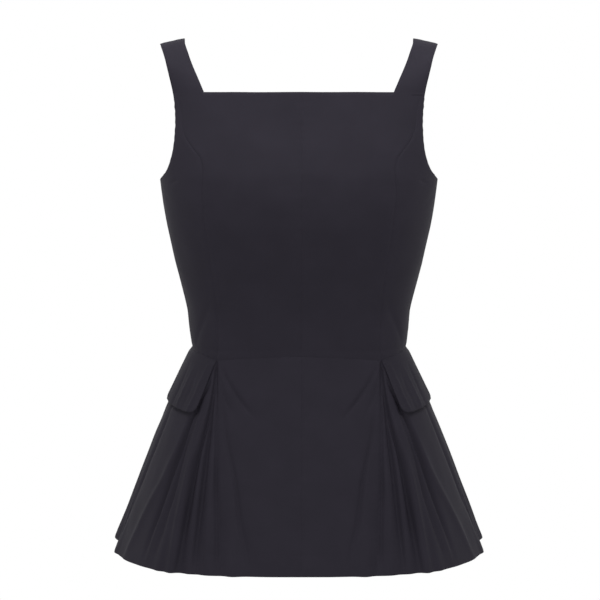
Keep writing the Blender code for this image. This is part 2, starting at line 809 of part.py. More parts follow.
def zip_tape(look):
    """The tape behind the centre-back seam, from the neckline to the hip."""
    half = ZIP_TAPE_WIDTH / 2
    xs = np.array([half, 0.0, -half])
    points = []
    normals = []
    for level in (ZIP_HIP_LEVEL, ZIP_HIP_LEVEL / 2, 0.04):
        point = peplum_point(CENTRE_BACK_ROW, level)
        normal = peplum_normal(CENTRE_BACK_ROW, level)
        points.append([(x, point[1], point[2]) for x in xs])
        normals.append([normal] * len(xs))
    waist = body_point(math.pi, waist_height(math.pi))
    points.append([(x, waist[1], waist[2]) for x in xs])
    normals.append([(0.0, 1.0, 0.0)] * len(xs))
    for height in [level for level in ROW_HEIGHTS if WAIST_HEIGHT < level < ZIP_TOP] + [ZIP_TOP]:
        point = body_point(math.pi, height)
        normal = body_normal(math.pi, height)
        points.append([(x, point[1], point[2]) for x in xs])
        normals.append([normal] * len(xs))
    points = np.array(points)
    normals = np.array(normals)
    # The tape is flat across, so it lies clear of the back's curve at its edges.
    sink = WALL + 2 * SEAM_GAP
    return cloth("zip_tape", points - normals * sink, normals, 1.0, look, wall=ZIP_TAPE_WALL)


def extrude(profile, low, high, place):
    """Points and faces of a closed outline carried from low to high along the third axis."""
    count = len(profile)
    points = [place(a, b, low) for a, b in profile] + [place(a, b, high) for a, b in profile]
    faces = [tuple(range(count)), tuple(reversed(range(count, 2 * count)))]
    for i in range(count):
        j = (i + 1) % count
        faces.append((j, i, i + count, j + count))
    return points, faces


def zip_frame():
    """The slider's place on the back: its seat, the outward direction and the way down the cloth."""
    seat = body_point(math.pi, SLIDER_HEIGHT)
    out = body_normal(math.pi, SLIDER_HEIGHT)
    down = np.array([0.0, out[2], -out[1]])
    return seat, out, down


def zip_slider(look):
    """A base on the cloth with two ears, which hold the pull's barrel between them."""
    seat, out, down = zip_frame()
    base = SEAM_GAP
    top = base + SLIDER_BASE
    ears = top + SLIDER_EAR_RISE
    half = [
        (SLIDER_EAR_OUTER, base),
        (SLIDER_EAR_OUTER, ears),
        (SLIDER_EAR_INNER, ears),
        (SLIDER_EAR_INNER, top),
    ]
    profile = half + [(-x, rise) for x, rise in reversed(half)]

    def place(x, rise, along):
        return np.array([x, 0.0, 0.0]) + seat + out * rise + down * along

    points, faces = extrude(profile, -SLIDER_LENGTH / 2, SLIDER_LENGTH / 2, place)
    return make_object("zip_slider", points, faces, look)


def zip_pull(look):
    """A tab that hangs from its barrel. Its origin is on the hinge's axis."""
    seat, out, down = zip_frame()
    rise = SEAM_GAP + SLIDER_BASE + RUNNING_GAP + PULL_BARREL
    axis = seat + out * rise
    hang = down * math.cos(PULL_LEAN) - out * math.sin(PULL_LEAN)
    face = out * math.cos(PULL_LEAN) + down * math.sin(PULL_LEAN)
    half = PULL_THICKNESS / 2
    start = math.asin(half / PULL_BARREL)
    turns = np.linspace(start, 2 * math.pi - start, BARREL_SIDES)
    barrel = [(PULL_BARREL * math.cos(turn), PULL_BARREL * math.sin(turn)) for turn in turns]
    stations = (PULL_NECK, PULL_LENGTH - PULL_HALF_WIDTH, PULL_LENGTH)
    halves = (PULL_BARREL_HALF, PULL_HALF_WIDTH, PULL_HALF_WIDTH * 0.6)
    points = []
    for x in (-PULL_BARREL_HALF, PULL_BARREL_HALF):
        points += [axis + np.array([x, 0, 0]) + hang * a + face * b for a, b in barrel]
    count = len(barrel)
    faces = [tuple(reversed(range(count))), tuple(range(count, 2 * count))]
    for i in range(count - 1):
        faces.append((i, i + 1, i + 1 + count, i + count))
    ring = [0, count, 2 * count - 1, count - 1]
    for reach, width in zip(stations, halves):
        start_index = len(points)
        for x, b in ((-width, half), (width, half), (width, -half), (-width, -half)):
            points.append(axis + np.array([x, 0, 0]) + hang * reach + face * b)
        new = [start_index, start_index + 1, start_index + 2, start_index + 3]
        for i in range(4):
            j = (i + 1) % 4
            faces.append((ring[i], ring[j], new[j], new[i]))
        ring = new
    faces.append(tuple(ring))
    return make_object("zip_pull", points, faces, look, origin=axis)


def main():
    for existing in list(bpy.data.objects):
        bpy.data.objects.remove(existing, do_unlink=True)
    bodice_cloth = material("bodice_cloth", (0.027, 0.026, 0.036), 0.62)
    peplum_cloth = material("peplum_cloth", (0.029, 0.028, 0.038), 0.62)
    flap_cloth = material("flap_cloth", (0.031, 0.030, 0.040), 0.6)
    tape_cloth = material("tape_cloth", (0.02, 0.02, 0.026), 0.8)
    zip_metal = material("zip_metal", (0.05, 0.05, 0.058), 0.4, 0.9)
    for side in (1.0, -1.0):
        bodice_front(side, bodice_cloth)
        bodice_side(side, bodice_cloth, back=False)
        bodice_side(side, bodice_cloth, back=True)
        bodice_back(side, bodice_cloth)
        peplum(side, peplum_cloth)
        pocket_flap(side, flap_cloth)
    zip_tape(tape_cloth)
    zip_slider(zip_metal)
    zip_pull(zip_metal)


main()
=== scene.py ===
"""The sleeveless peplum top, dressed: cloth with seams, creases and weave, a zip, and a studio.

Points are worked out in millimetres on the surfaces that the solids have, and MM turns them into
metres. +Z is up, the front faces -Y, and +X is the wearer's left. A pair of values is for the
bodice's front and back, and the flag "back" picks one of the two.
"""

import math

import bpy
import numpy as np
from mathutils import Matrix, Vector


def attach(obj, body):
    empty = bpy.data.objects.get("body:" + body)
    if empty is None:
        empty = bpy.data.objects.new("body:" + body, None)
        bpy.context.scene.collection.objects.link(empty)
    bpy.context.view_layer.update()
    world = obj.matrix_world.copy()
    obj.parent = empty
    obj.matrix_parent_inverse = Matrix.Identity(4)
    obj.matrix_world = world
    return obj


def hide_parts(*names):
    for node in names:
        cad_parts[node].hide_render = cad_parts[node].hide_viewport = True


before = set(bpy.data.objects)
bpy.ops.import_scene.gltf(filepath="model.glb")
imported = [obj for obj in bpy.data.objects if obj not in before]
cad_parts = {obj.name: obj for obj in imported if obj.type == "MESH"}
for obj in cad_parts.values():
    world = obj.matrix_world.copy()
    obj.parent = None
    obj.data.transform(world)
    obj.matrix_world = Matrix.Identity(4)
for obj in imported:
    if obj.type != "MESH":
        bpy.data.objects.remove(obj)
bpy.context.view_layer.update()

MM = 0.001
TURN = 2 * math.pi
MIRROR = np.array([-1.0, 1.0, 1.0])
FAR = 1e3

# Cloth and seams
WALL = 1.2
SEAM_GAP = 0.04
FLAP_WALL = 1.4
FLAP_GAP = 0.45
FLAP_LIFT = 2.2

# Levels
NECK_HEIGHT = (-64.9, -75.0)
PRINCESS_TOP = (-68.0, -116.5)
PRINCESS_END = 0.01
UNDERARM_HEIGHT = -167.6
WAIST_HEIGHT = -367.1
SHOULDER_HEIGHT = -2.9
LEVEL_ABOVE_WAIST = 120.0
CENTRE_SEAM = 3.0
SQUARENESS = (2.6, 2.5)
FACES = ("front", "back")

# Spacing of the cloth's points, away from its edges and beside them
STEP = 2.2
FOLD_STEP = 1.7
FLAP_STEP = 1.3
EDGE_STEP = 0.5
EDGE_ZONE = 7.0
SIDE_PANEL_WIDTH = 75.0
FRONT_NECK_ROWS = 7
UNDERARM_ROWS = 15
CORNER_POINTS = 13

# How finely curves are sampled to be measured
SAMPLES = 2001
DENSE_SAMPLES = 8001
FRONT_SAMPLES = 1701
FLAP_FRONT_SAMPLES = 60
CURVE_SAMPLES = 41
CREASE_SAMPLES = 6

# How the cloth sinks and swells beside a seam, and turns over at a free edge. A rim's rings have
# their degrees round a free edge and their share of a seam's tuck.
SEAM_SINK = 0.32
SEAM_SINK_WIDTH = 1.5
SEAM_RIDGE = 0.12
SEAM_RIDGE_PLACE = 5.0
SEAM_RIDGE_WIDTH = 3.0
SEAM_TUCK = 0.45
RIM_RINGS = ((45.0, 0.5), (90.0, 1.0), (135.0, 1.0))
SEAM_END = 8.0
WAIST_STRENGTH = 0.5
CENTRE_STRENGTH = (1.0, 1.8)
EDGE_ROLL = 0.35
EDGE_ROLL_WIDTH = 1.6
EDGE_PUCKER = 0.3
HEM_TURN = 24.0
HEM_LINE_WIDTH = 1.6
HEM_LINE_DEPTH = 0.12
HEM_LINE_EVEN = 0.4
HEM_STITCH = 7.0

# Gathers along each kind of seam or edge: two waves of different length, and where they start
PUCKER_REACH = 9.0
PUCKER_DEPTH = 0.1
PUCKER_LENGTH = 9.0
SECOND_PUCKER = 0.7
SECOND_PUCKER_LENGTH = 1.73
SECOND_PUCKER_START = 2.3
PUCKER_STARTS = {"centre": 0.7, "waist": 1.9, "princess": 3.1, "side": 5.0}
PUCKER_STARTS |= {"shoulder": 2.2, "neck": 0.2, "strap": 4.0, "hem": 2.6}
PRINCESS_GATHER_TOP = -140.0
PRINCESS_GATHER_FADE = 40.0


def table(columns, *rows):
    """The rows as one array for each named column."""
    return dict(zip(columns, np.array(rows, float).T))


def tables(columns, *groups):
    """A table of each group of rows, all with the same columns."""
    return [table(columns, *rows) for rows in groups]


# Cross-sections of the bodice
SECTIONS = table(
    ("height", "half_width", "front", "back"),
    (-400.0, 127.9, 90.5, 76.0), (-367.1, 127.9, 90.5, 76.0), (-360.0, 129.3, 91.0, 77.0),
    (-340.0, 131.8, 93.0, 80.0), (-324.0, 133.2, 95.5, 83.0), (-312.0, 135.5, 98.0, 85.5),
    (-288.0, 141.5, 103.0, 91.0), (-264.0, 147.7, 110.0, 97.0), (-240.0, 152.8, 116.5, 102.0),
    (-216.0, 157.9, 121.5, 106.0), (-192.0, 162.0, 123.0, 109.0), (-167.6, 165.3, 120.5, 110.0),
    (-140.0, 168.0, 112.5, 107.5), (-100.0, 170.0, 97.5, 99.5), (-64.0, 171.0, 86.0, 90.5),
)

# Princess seams and armhole edges of one half, seen from the front or the back
PRINCESS = tables(
    ("height", "x"),
    ((-400.0, 96.4), (-377.7, 96.4), (-359.8, 94.3), (-331.2, 95.2), (-295.8, 97.4),
     (-267.5, 101.4), (-232.5, 106.6), (-204.7, 109.9), (-177.0, 111.7), (-156.0, 110.9),
     (-141.7, 113.6), (-130.8, 121.4), (-118.5, 130.2), (-106.0, 134.8), (-92.0, 136.0),
     (-80.0, 138.0), (-72.5, 141.5), (-64.0, 148.0)),
    ((-400.0, 76.0), (-367.1, 76.0), (-330.0, 77.5), (-280.0, 82.0), (-230.0, 90.0),
     (-190.0, 98.0), (-165.0, 106.0), (-145.0, 118.0), (-132.0, 130.0), (-122.0, 141.0),
     (-113.0, 149.0)),
)
ARMHOLE = tables(
    ("height", "x"),
    ((-161.4, 159.4), (-155.1, 154.6), (-147.9, 151.2), (-133.8, 147.0), (-119.9, 145.0),
     (-99.1, 144.0), (-78.3, 145.2), (-64.0, 146.9)),
    ((-161.4, 160.2), (-150.0, 154.6), (-135.0, 150.0), (-120.0, 147.8), (-105.0, 147.3),
     (-90.0, 148.6), (-75.0, 151.5)),
)
UNDERARM_ROUNDNESS = 1.2

# How strongly a princess seam shows: most where it curves over the bust, least at the waist
PRINCESS_STRENGTH = table(
    ("height", "strength"),
    (-370.0, 1.1), (-260.0, 0.9), (-190.0, 1.5), (-150.0, 2.2), (-125.0, 1.2), (-100.0, 0.7),
)

# Straps, from the neckline (0) to the shoulder seam (1)
STRAP = tables(
    ("along", "inner", "outer"),
    ((0.0, 110.4, 146.9), (0.15, 116.4, 149.0), (0.37, 125.0, 154.0), (0.5, 129.0, 156.8),
     (0.8, 135.4, 162.6), (1.0, 136.4, 164.8)),
    ((0.0, 119.0, 151.5), (0.15, 123.5, 153.6), (0.37, 131.0, 157.8), (0.5, 134.0, 160.0),
     (0.8, 137.0, 163.4), (1.0, 136.4, 164.8)),
)
STRAP_TILT = 0.228
STRAP_RISE = 29.0
STRAP_LEAN = 0.3
STRAP_CROWN = 34.0
STRAP_LENGTH = 95.0
STRAP_FADE = 40.0

# Height of the waist seam by degrees from the centre front
WAIST_SEAM = table(
    ("angle", "height"),
    (0.0, -370.8), (24.0, -373.8), (43.8, -377.7), (55.8, -373.1), (70.0, -369.8), (90.0, -367.1),
    (120.0, -368.6), (150.0, -370.0), (180.0, -370.0),
)

# The hem's outline from the centre front round to the centre back, without its folds
HEM_OUTLINE = table(
    ("x", "y", "height"),
    (0.0, -131.0, -621.2), (80.0, -129.5, -621.2), (108.0, -124.0, -621.2),
    (127.0, -118.5, -621.2), (146.0, -111.0, -621.2), (166.0, -96.5, -621.2),
    (186.0, -74.0, -621.2), (198.0, -54.0, -621.2), (209.0, -29.0, -621.0), (224.0, 16.0, -620.0),
    (228.0, 55.0, -618.0), (227.0, 88.0, -615.8), (211.0, 113.0, -615.4), (182.0, 125.0, -615.4),
    (141.0, 130.0, -615.8), (80.0, 132.0, -616.2), (0.0, 132.0, -616.2),
)

# Folds of each peplum panel: how far round the waist and the hem each lies from the centre
# front, and how far it stands out of the outline at the hem. The seams lie between the panels.
PANELS = ("front", "side_front", "side_back", "back")
PANEL_FOLDS = tables(
    ("waist", "hem", "lift"),
    ((32.0, 30.0, 0.0), (66.0, 61.0, -2.0), (84.0, 77.0, 0.5)),
    ((102.2, 107.0, -2.0), (103.8, 121.0, -5.0), (105.4, 131.0, -3.8), (107.0, 143.0, -6.8),
     (109.2, 155.0, -0.2), (111.0, 166.0, -2.8), (112.8, 175.0, -1.3), (115.8, 190.0, -3.4),
     (121.5, 220.0, -2.4), (130.5, 252.0, 0.6), (155.0, 281.0, 0.2)),
    ((196.0, 336.0, -9.0), (208.0, 371.0, 1.0), (219.0, 393.0, -6.0), (229.0, 413.0, 3.5),
     (238.0, 430.0, -5.0), (246.0, 447.0, 4.0), (253.0, 462.0, -4.0), (259.0, 477.0, 3.0),
     (264.0, 491.0, -3.0), (268.0, 505.0, 1.5)),
    ((298.0, 550.0, 0.5), (325.0, 581.0, 0.0)),
)
SEAM_HEMS = table(
    ("hem", "lift"),
    (91.0, -3.8), (298.0, 2.5), (521.0, -1.5),
)
CENTRE_FRONT_ROW = 1
FOLD_GROWTH = 1.9
PEPLUM_DEPTH = WAIST_HEIGHT - HEM_OUTLINE["height"][0]
HIP_SWELL = 4.0
FRONT_SWELL = 0.3
SWELL_REACH = 170.0

# A crease is a line of points: each one's place and level, and how wide the crease is there and
# how far it stands out or, below zero, sinks in.
CREASE_COLUMNS = ("place", "level", "width", "lift")

# Pocket flap
FLAP_FRONT_X = (97.2, 120.4)
FLAP_BOTTOM = (0.262, 0.243)
FLAP_BACK_WAIST = 222.0
FLAP_WIDTH_GAIN = 6.4
FLAP_CORNER = 7.0
FLAP_TOP_RISE = 0.5
FLAP_CATCH = 9.0
FLAP_EASE = 40
FLAP_RIPPLE = 0.6
FLAP_HOLLOW = table(
    ("width", "lift"),
    (2.0, -1.2), (2.2, -2.4), (2.2, -2.0), (2.0, -0.8),
)
FLAP_HOLLOW_DROP = 0.005
FLAP_HOLLOW_STRIDE = 6

# Soft waves of the flap, placed by their shares of the way across it from the front and down it
FLAP_WAVES = tables(
    CREASE_COLUMNS,
    ((0.05, 0.08, 2.6, 0.4), (0.06, 0.4, 3.0, 1.3), (0.07, 0.75, 3.2, 1.4), (0.09, 1.0, 3.6, 0.8)),
    ((0.16, 0.25, 3.0, 0.0), (0.16, 0.6, 3.4, -1.1), (0.17, 0.95, 3.6, -0.6)),
    ((0.22, 0.2, 3.2, 0.0), (0.24, 0.5, 3.8, 0.9), (0.26, 0.8, 4.0, 1.1), (0.27, 1.0, 4.0, 0.5)),
    ((0.32, 0.15, 3.6, 0.0), (0.35, 0.6, 4.2, -1.2), (0.37, 1.0, 4.4, -0.6)),
    ((0.62, 0.25, 4.0, 0.0), (0.6, 0.7, 5.0, 0.7), (0.61, 1.0, 5.0, 0.5)),
    ((0.8, 0.3, 4.0, 0.0), (0.79, 0.8, 5.0, -0.8), (0.8, 1.0, 5.0, -0.5)),
)

# Zip
ZIP_TAPE_WIDTH = 24.0
ZIP_TOP = -78.0
ZIP_HIP_LEVEL = 0.3
TAPE_WALL = 0.8
TAPE_DEPTH = 2.3
TAPE_ROWS = (40, 150)
TAPE_HALF_COLUMNS = 13
TAPE_GROOVES = ((0.0, 0.25, 1.2), (10.4, 0.08, 0.5))
COIL_PITCH = 1.25
COIL_TURN_POINTS = 12
COIL_SIDES = 6
COIL_WIRE = 0.3
COIL_HALF_WIDTH = 1.9
COIL_DEPTH = 0.55
COIL_MARGIN_TOP = 4.0
COIL_MARGIN_BOTTOM = 9.0

# Creases of the peplum, placed by how far round the hem and by the share of the way down to it
PEPLUM_CREASES = tables(
    CREASE_COLUMNS,
    ((90.5, 0.01, 1.7, -1.4), (95.2, 0.32, 2.2, -1.5), (95.8, 0.59, 3.0, -2.6),
     (95.6, 0.86, 3.4, -2.5), (96.6, 1.0, 3.6, -0.3)),
    ((94.8, 0.18, 2.6, 0.4), (100.1, 0.44, 4.0, 0.9), (107.9, 0.7, 5.0, 1.5),
     (108.8, 0.86, 6.0, 1.2), (107.1, 1.0, 6.0, 0.3)),
    ((94.3, 0.04, 1.7, -1.1), (111.5, 0.26, 2.8, -3.4), (116.2, 0.38, 3.8, -4.6),
     (121.6, 0.6, 4.5, -5.0), (124.4, 0.89, 4.8, -3.6), (124.6, 1.0, 4.4, -1.0)),
    ((102.2, 0.04, 1.7, -1.1), (121.5, 0.28, 2.4, -3.5), (139.0, 0.48, 3.3, -5.0),
     (143.0, 0.66, 3.7, -5.4), (146.0, 0.93, 4.2, -2.5), (147.0, 1.0, 4.1, -1.6)),
    ((104.0, 0.06, 2.2, 0.3), (138.1, 0.34, 4.0, 1.8), (154.1, 0.54, 5.0, 2.3),
     (157.5, 0.84, 6.0, 1.8), (153.9, 1.0, 6.0, 0.6)),
    ((130.0, 0.1, 2.0, -0.8), (151.3, 0.17, 2.6, -3.0), (174.8, 0.27, 3.3, -5.4),
     (190.7, 0.47, 3.7, -5.8), (202.0, 0.73, 4.2, -4.6), (206.5, 0.84, 4.4, -2.9),
     (208.5, 0.95, 5.0, -0.6)),
    ((150.0, 0.2, 3.0, -0.6), (169.0, 0.34, 4.2, -3.0), (178.5, 0.48, 5.2, -5.2),
     (179.5, 0.62, 5.6, -5.4), (184.5, 0.77, 5.4, -3.6), (188.0, 0.92, 5.4, -1.2)),
    ((190.0, 0.62, 2.6, 0.0), (196.0, 0.77, 3.0, 0.9), (200.0, 0.9, 3.4, 0.5),
     (202.0, 1.0, 3.6, 0.2)),
    ((178.0, 0.2, 5.0, 0.3), (190.0, 0.35, 6.5, 1.4), (210.5, 0.56, 8.5, 2.4),
     (232.0, 0.72, 9.0, 2.6), (246.0, 0.87, 9.0, 2.4), (256.0, 1.0, 9.0, 1.2)),
    ((84.5, 0.02, 1.5, -0.4), (79.7, 0.08, 2.2, -1.9), (64.4, 0.19, 2.7, -2.3),
     (50.4, 0.27, 3.0, -0.6)),
    ((86.3, 0.08, 1.8, -0.4), (81.7, 0.17, 2.4, -1.5), (72.5, 0.27, 2.7, -0.2)),
    ((83.7, 0.2, 3.0, -0.4), (80.5, 0.36, 3.3, -1.9), (71.6, 0.56, 3.4, -2.7),
     (66.4, 0.76, 3.8, -2.3), (60.6, 0.88, 3.8, -1.3), (58.0, 0.97, 3.8, 0.0)),
    ((271.0, 0.22, 5.0, -0.6), (279.0, 0.38, 6.0, -2.8), (285.5, 0.54, 7.0, -3.4),
     (291.0, 0.69, 7.5, -3.2), (296.0, 0.84, 8.0, -2.2), (300.0, 1.0, 9.0, -0.6)),
    ((333.0, 0.3, 6.8, -0.6), (336.0, 0.6, 8.2, -2.2), (336.0, 1.0, 9.0, -2.9)),
    ((374.0, 0.22, 4.0, 0.3), (371.0, 0.6, 7.0, 1.8), (371.0, 1.0, 8.0, 1.3)),
    ((402.0, 0.1, 2.2, -0.6), (396.0, 0.36, 3.3, -2.9), (393.0, 0.7, 4.1, -4.2),
     (393.0, 1.0, 4.5, -2.6)),
    ((418.0, 0.3, 4.0, 0.7), (413.0, 0.7, 5.0, 1.8), (413.0, 1.0, 6.0, 0.9)),
    ((440.0, 0.06, 1.8, -0.8), (433.0, 0.3, 2.7, -2.9), (430.0, 0.66, 3.8, -4.5),
     (430.0, 1.0, 4.1, -2.9)),
    ((452.0, 0.18, 3.2, 0.7), (447.0, 0.6, 5.0, 2.0), (446.0, 1.0, 6.0, 1.1)),
    ((474.0, 0.05, 1.7, -1.0), (465.0, 0.4, 2.7, -3.4), (462.0, 0.74, 3.4, -3.5),
     (461.0, 1.0, 3.8, -1.6)),
    ((496.0, 0.04, 1.5, -1.0), (493.0, 0.34, 2.2, -2.6), (491.0, 0.66, 3.2, -3.4),
     (490.0, 0.92, 3.8, -1.0)),
    ((518.0, 0.03, 1.5, -1.0), (515.0, 0.4, 2.2, -1.9), (517.0, 0.8, 3.4, -2.7),
     (520.0, 1.0, 3.8, -0.6)),
    ((527.0, 0.03, 1.7, -0.4), (536.0, 0.14, 2.4, -1.7), (551.0, 0.27, 3.0, -0.2)),
    ((529.0, 0.26, 3.0, -0.4), (537.0, 0.5, 3.4, -2.1), (548.0, 0.8, 3.8, -1.3),
     (552.0, 0.95, 3.8, 0.0)),
)

# Creases of the bodice, placed by degrees round from the centre front and by height
BODICE_CREASES = tables(
    CREASE_COLUMNS,
    ((44.5, -304.0, 4.0, -0.1), (47.0, -315.0, 5.0, -0.9), (53.9, -332.6, 5.4, -1.3),
     (63.0, -352.0, 5.4, -0.9), (68.0, -363.0, 5.0, -0.2)),
    ((62.0, -171.0, 2.6, -0.3), (57.0, -167.6, 2.8, -0.7), (53.0, -166.0, 2.6, 0.0)),
    ((76.0, -182.0, 4.0, -0.2), (70.0, -186.0, 5.0, -0.7), (62.0, -194.0, 5.0, -0.2)),
    ((96.0, -300.0, 6.0, -0.1), (108.0, -322.0, 7.0, -1.1), (122.0, -346.0, 7.0, -1.0),
     (130.0, -358.0, 6.0, -0.2)),
    ((142.0, -306.0, 5.0, 0.0), (152.0, -318.0, 6.0, -0.9), (166.0, -326.0, 6.0, -0.7),
     (177.0, -328.0, 6.0, -0.1)),
    ((146.0, -336.0, 5.0, 0.0), (156.0, -345.0, 5.6, -1.0), (168.0, -349.0, 6.0, -0.6),
     (178.0, -350.0, 5.0, 0.0)),
    ((118.0, -172.0, 3.0, -0.2), (124.0, -166.0, 3.2, -0.9), (131.0, -162.0, 3.2, -0.2)),
)

# Slow unevenness of hanging cloth: the waves' length along X, Y and Z, their start and height
RIPPLES = (
    (83.0, 140.0, 410.0, 0.4, 0.22), (-61.0, 97.0, 230.0, 2.1, 0.16),
    (47.0, 71.0, -190.0, 4.4, 0.1), (170.0, -57.0, 96.0, 1.3, 0.13),
    (39.0, -44.0, 120.0, 5.2, 0.06),
)

# Looks: a dark and a light colour for each cloth
CLOTH_COLORS = {
    "bodice_cloth": ((0.0120, 0.0106, 0.0154), (0.0167, 0.0148, 0.0213)),
    "peplum_cloth": ((0.0120, 0.0106, 0.0154), (0.0167, 0.0148, 0.0213)),
    "flap_cloth": ((0.0112, 0.0100, 0.0144), (0.0160, 0.0143, 0.0204)),
    "zip_tape_cloth": ((0.012, 0.012, 0.016), (0.02, 0.02, 0.026)),
}
METAL = {
    "Base_Color": (0.05, 0.05, 0.058, 1.0),
    "Metallic": 0.9,
    "noise": (900.0, 3.0),
    "roughness": (0.3, 0.5),
    "relief": 0.1,
}
NYLON = {
    "colors": ((0.012, 0.012, 0.015), (0.026, 0.026, 0.031)),
    "Specular_IOR_Level": 0.4,
    "noise": (400.0, 2.0),
    "roughness": (0.35, 0.55),
    "relief": 0.15,
}
WARP_SCALE = 560.0
WEFT_SCALE = 520.0
SLUB_SHARE = 0.35
FLOOR_COLOR = (0.8, 0.8, 0.8, 1.0)

# Studio, in metres and watts
CAMERA_PLACE = (0.00126, -2.6, -0.10)
CAMERA_AIM = (0.0, 2.6, -0.212)
CAMERA_LENS = 130.43
CAMERA_SENSOR = 36.0
MIDDLE = (0.0, 0.0, -0.35)
CHEST = (0.0, 0.0, -0.1)
LIGHTS = (
    ("light_top", (0.0, -0.42, 0.8), CHEST, (1.2, 0.4), 4.0),
    ("light_front", (0.0, -2.6, 0.0), MIDDLE, (1.0, 1.0), 11.5),
    ("light_right", (-2.0, 0.9, 0.0), CHEST, (1.2, 1.2), 1.0),
    ("light_shoulder_right", (-0.4, -0.2, 0.45), (-0.15, 0.0, 0.0), (0.35, 0.35), 2.3),
    ("light_left", (2.0, 0.9, 0.0), CHEST, (1.2, 1.2), 1.0),
    ("light_shoulder_left", (0.4, -0.2, 0.45), (0.15, 0.0, 0.0), (0.35, 0.35), 2.3),
)
FLOOR_HEIGHT = -1.0
FLOOR_SOLID = 0.5
FLOOR_REACH = 1.2
FLOOR_CORNERS = 96


# Curves


def lerp(a, b, t):
    return a + (b - a) * t


def ease(t):
    """From 0 to 1 like t, but level at both ends."""
    return t * t * (3 - 2 * t)


def unit(vectors):
    return vectors / np.maximum(np.linalg.norm(vectors, axis=-1, keepdims=True), 1e-9)


def signed_power(base, exponent):
    return np.sign(base) * np.abs(base) ** exponent


def hermite(t, start, end, leave, arrive):
    """A cubic from start to end, with its slopes there."""
    first = (1 + 2 * t) * (1 - t) ** 2 * start + t * (1 - t) ** 2 * leave
    return first + (t**2 * (3 - 2 * t) * end - t**2 * (1 - t) * arrive)


def smooth(xs, ys, x):
    """A curve through the rows of a table that doesn't overshoot them."""
    step = np.diff(xs)
    slope = np.diff(ys) / step
    product = slope[1:] * slope[:-1]
    total = np.where(product > 0, slope[1:] + slope[:-1], 1.0)
    inner = np.where(product > 0, 2 * product / total, 0.0)
    tangent = np.concatenate([slope[:1], inner, slope[-1:]])
    row = np.clip(np.searchsorted(xs, x) - 1, 0, len(step) - 1)
    t = np.clip((x - xs[row]) / step[row], 0.0, 1.0)
    slopes = step[row] * tangent[row], step[row] * tangent[row + 1]
    return hermite(t, ys[row], ys[row + 1], *slopes)


def read(rows, name, x):
    """One named column of a table, by the table's first column."""
    first = next(iter(rows))
    return smooth(rows[first], rows[name], np.asarray(x, float))


def lengths_along(points):
    """The length of a line of points up to each of them."""
    steps = np.linalg.norm(np.diff(points, axis=0), axis=1)
    return np.concatenate([[0.0], np.cumsum(steps)])


def at_length(length, lengths, points):
    """Points of a line by their length along it."""
    columns = [np.interp(length, lengths, points[:, i]) for i in range(3)]
    return np.stack(columns, axis=-1)


def graded(length, step):
    """Shares of a length, closer together near its two ends."""
    along = np.linspace(0, length, SAMPLES)
    near = np.minimum(along, length - along)
    pace = 1 / lerp(EDGE_STEP, step, np.clip(near / EDGE_ZONE, 0, 1))
    total = np.concatenate([[0.0], np.cumsum((pace[1:] + pace[:-1]) / 2 * np.diff(along))])
    count = int(round(total[-1]))
    return np.interp(np.linspace(0, total[-1], count + 1), total, along) / length


# Surfaces


def body_depth(angle, height):
    front, back = (read(SECTIONS, face, height) for face in FACES)
    return np.where(np.cos(angle) >= 0, front, back)


def body_point(angle, height):
    """A point of the bodice, by its angle from the centre front and its height."""
    angle, height = np.broadcast_arrays(np.asarray(angle, float), np.asarray(height, float))
    power = 2 / np.where(np.cos(angle) >= 0, *SQUARENESS)
    x = read(SECTIONS, "half_width", height) * signed_power(np.sin(angle), power)
    y = -body_depth(angle, height) * signed_power(np.cos(angle), power)
    return np.stack([x, y, height], axis=-1)


def angle_at(x, height, back=False):
    """The angle of the point of a cross-section that lies x from the centre plane."""
    share = np.clip(x / read(SECTIONS, "half_width", height), -1.0, 1.0)
    angle = np.arcsin(signed_power(share, SQUARENESS[back] / 2))
    return math.pi - angle if back else angle


def armhole_angle(height, back=False):
    """The armhole's edge: its table down to the turn, and a quarter ellipse under the arm."""
    edge = ARMHOLE[back]
    turn = edge["height"][0]
    upper = angle_at(read(edge, "x", height), height, back)
    turn_depth = abs(body_point(angle_at(edge["x"][0], turn, back), turn)[1])
    below = np.clip((turn - height) / (turn - UNDERARM_HEIGHT), 0.0, 1.0)
    depth = body_depth(math.pi if back else 0.0, height)
    share = turn_depth * np.sqrt(1 - below**UNDERARM_ROUNDNESS) / depth
    lower = np.arccos(np.clip(share, 0.0, 1.0) ** (SQUARENESS[back] / 2))
    lower = math.pi - lower if back else lower
    return np.where(height >= turn, upper, lower)


def side_angle(back):
    """The side seam, half the seam's gap to one side of it."""
    depth = SECTIONS[FACES[back]].min()
    angle = math.acos((SEAM_GAP / 2 / depth) ** (SQUARENESS[back] / 2))
    return math.pi - angle if back else angle


def waist_height(angle):
    return np.interp(np.abs(np.degrees(angle)), WAIST_SEAM["angle"], WAIST_SEAM["height"])


def row_height(angle, nominal):
    """A row's height at an angle: rows follow the waist seam's dip near it, level above."""
    above = np.clip(1 - (nominal - WAIST_HEIGHT) / LEVEL_ABOVE_WAIST, 0.0, 1.0)
    lowest = SEAM_GAP / 2 * (nominal == WAIST_HEIGHT)
    return nominal + (waist_height(angle) - WAIST_HEIGHT) * above + lowest


def seam_angle(nominal, offset, back):
    """The angle of a princess seam on a row, with its gap's half as an offset in x."""
    seam = PRINCESS[back]
    height = row_height(angle_at(read(seam, "x", nominal), nominal, back), nominal)
    return angle_at(read(seam, "x", height) + offset, height, back)


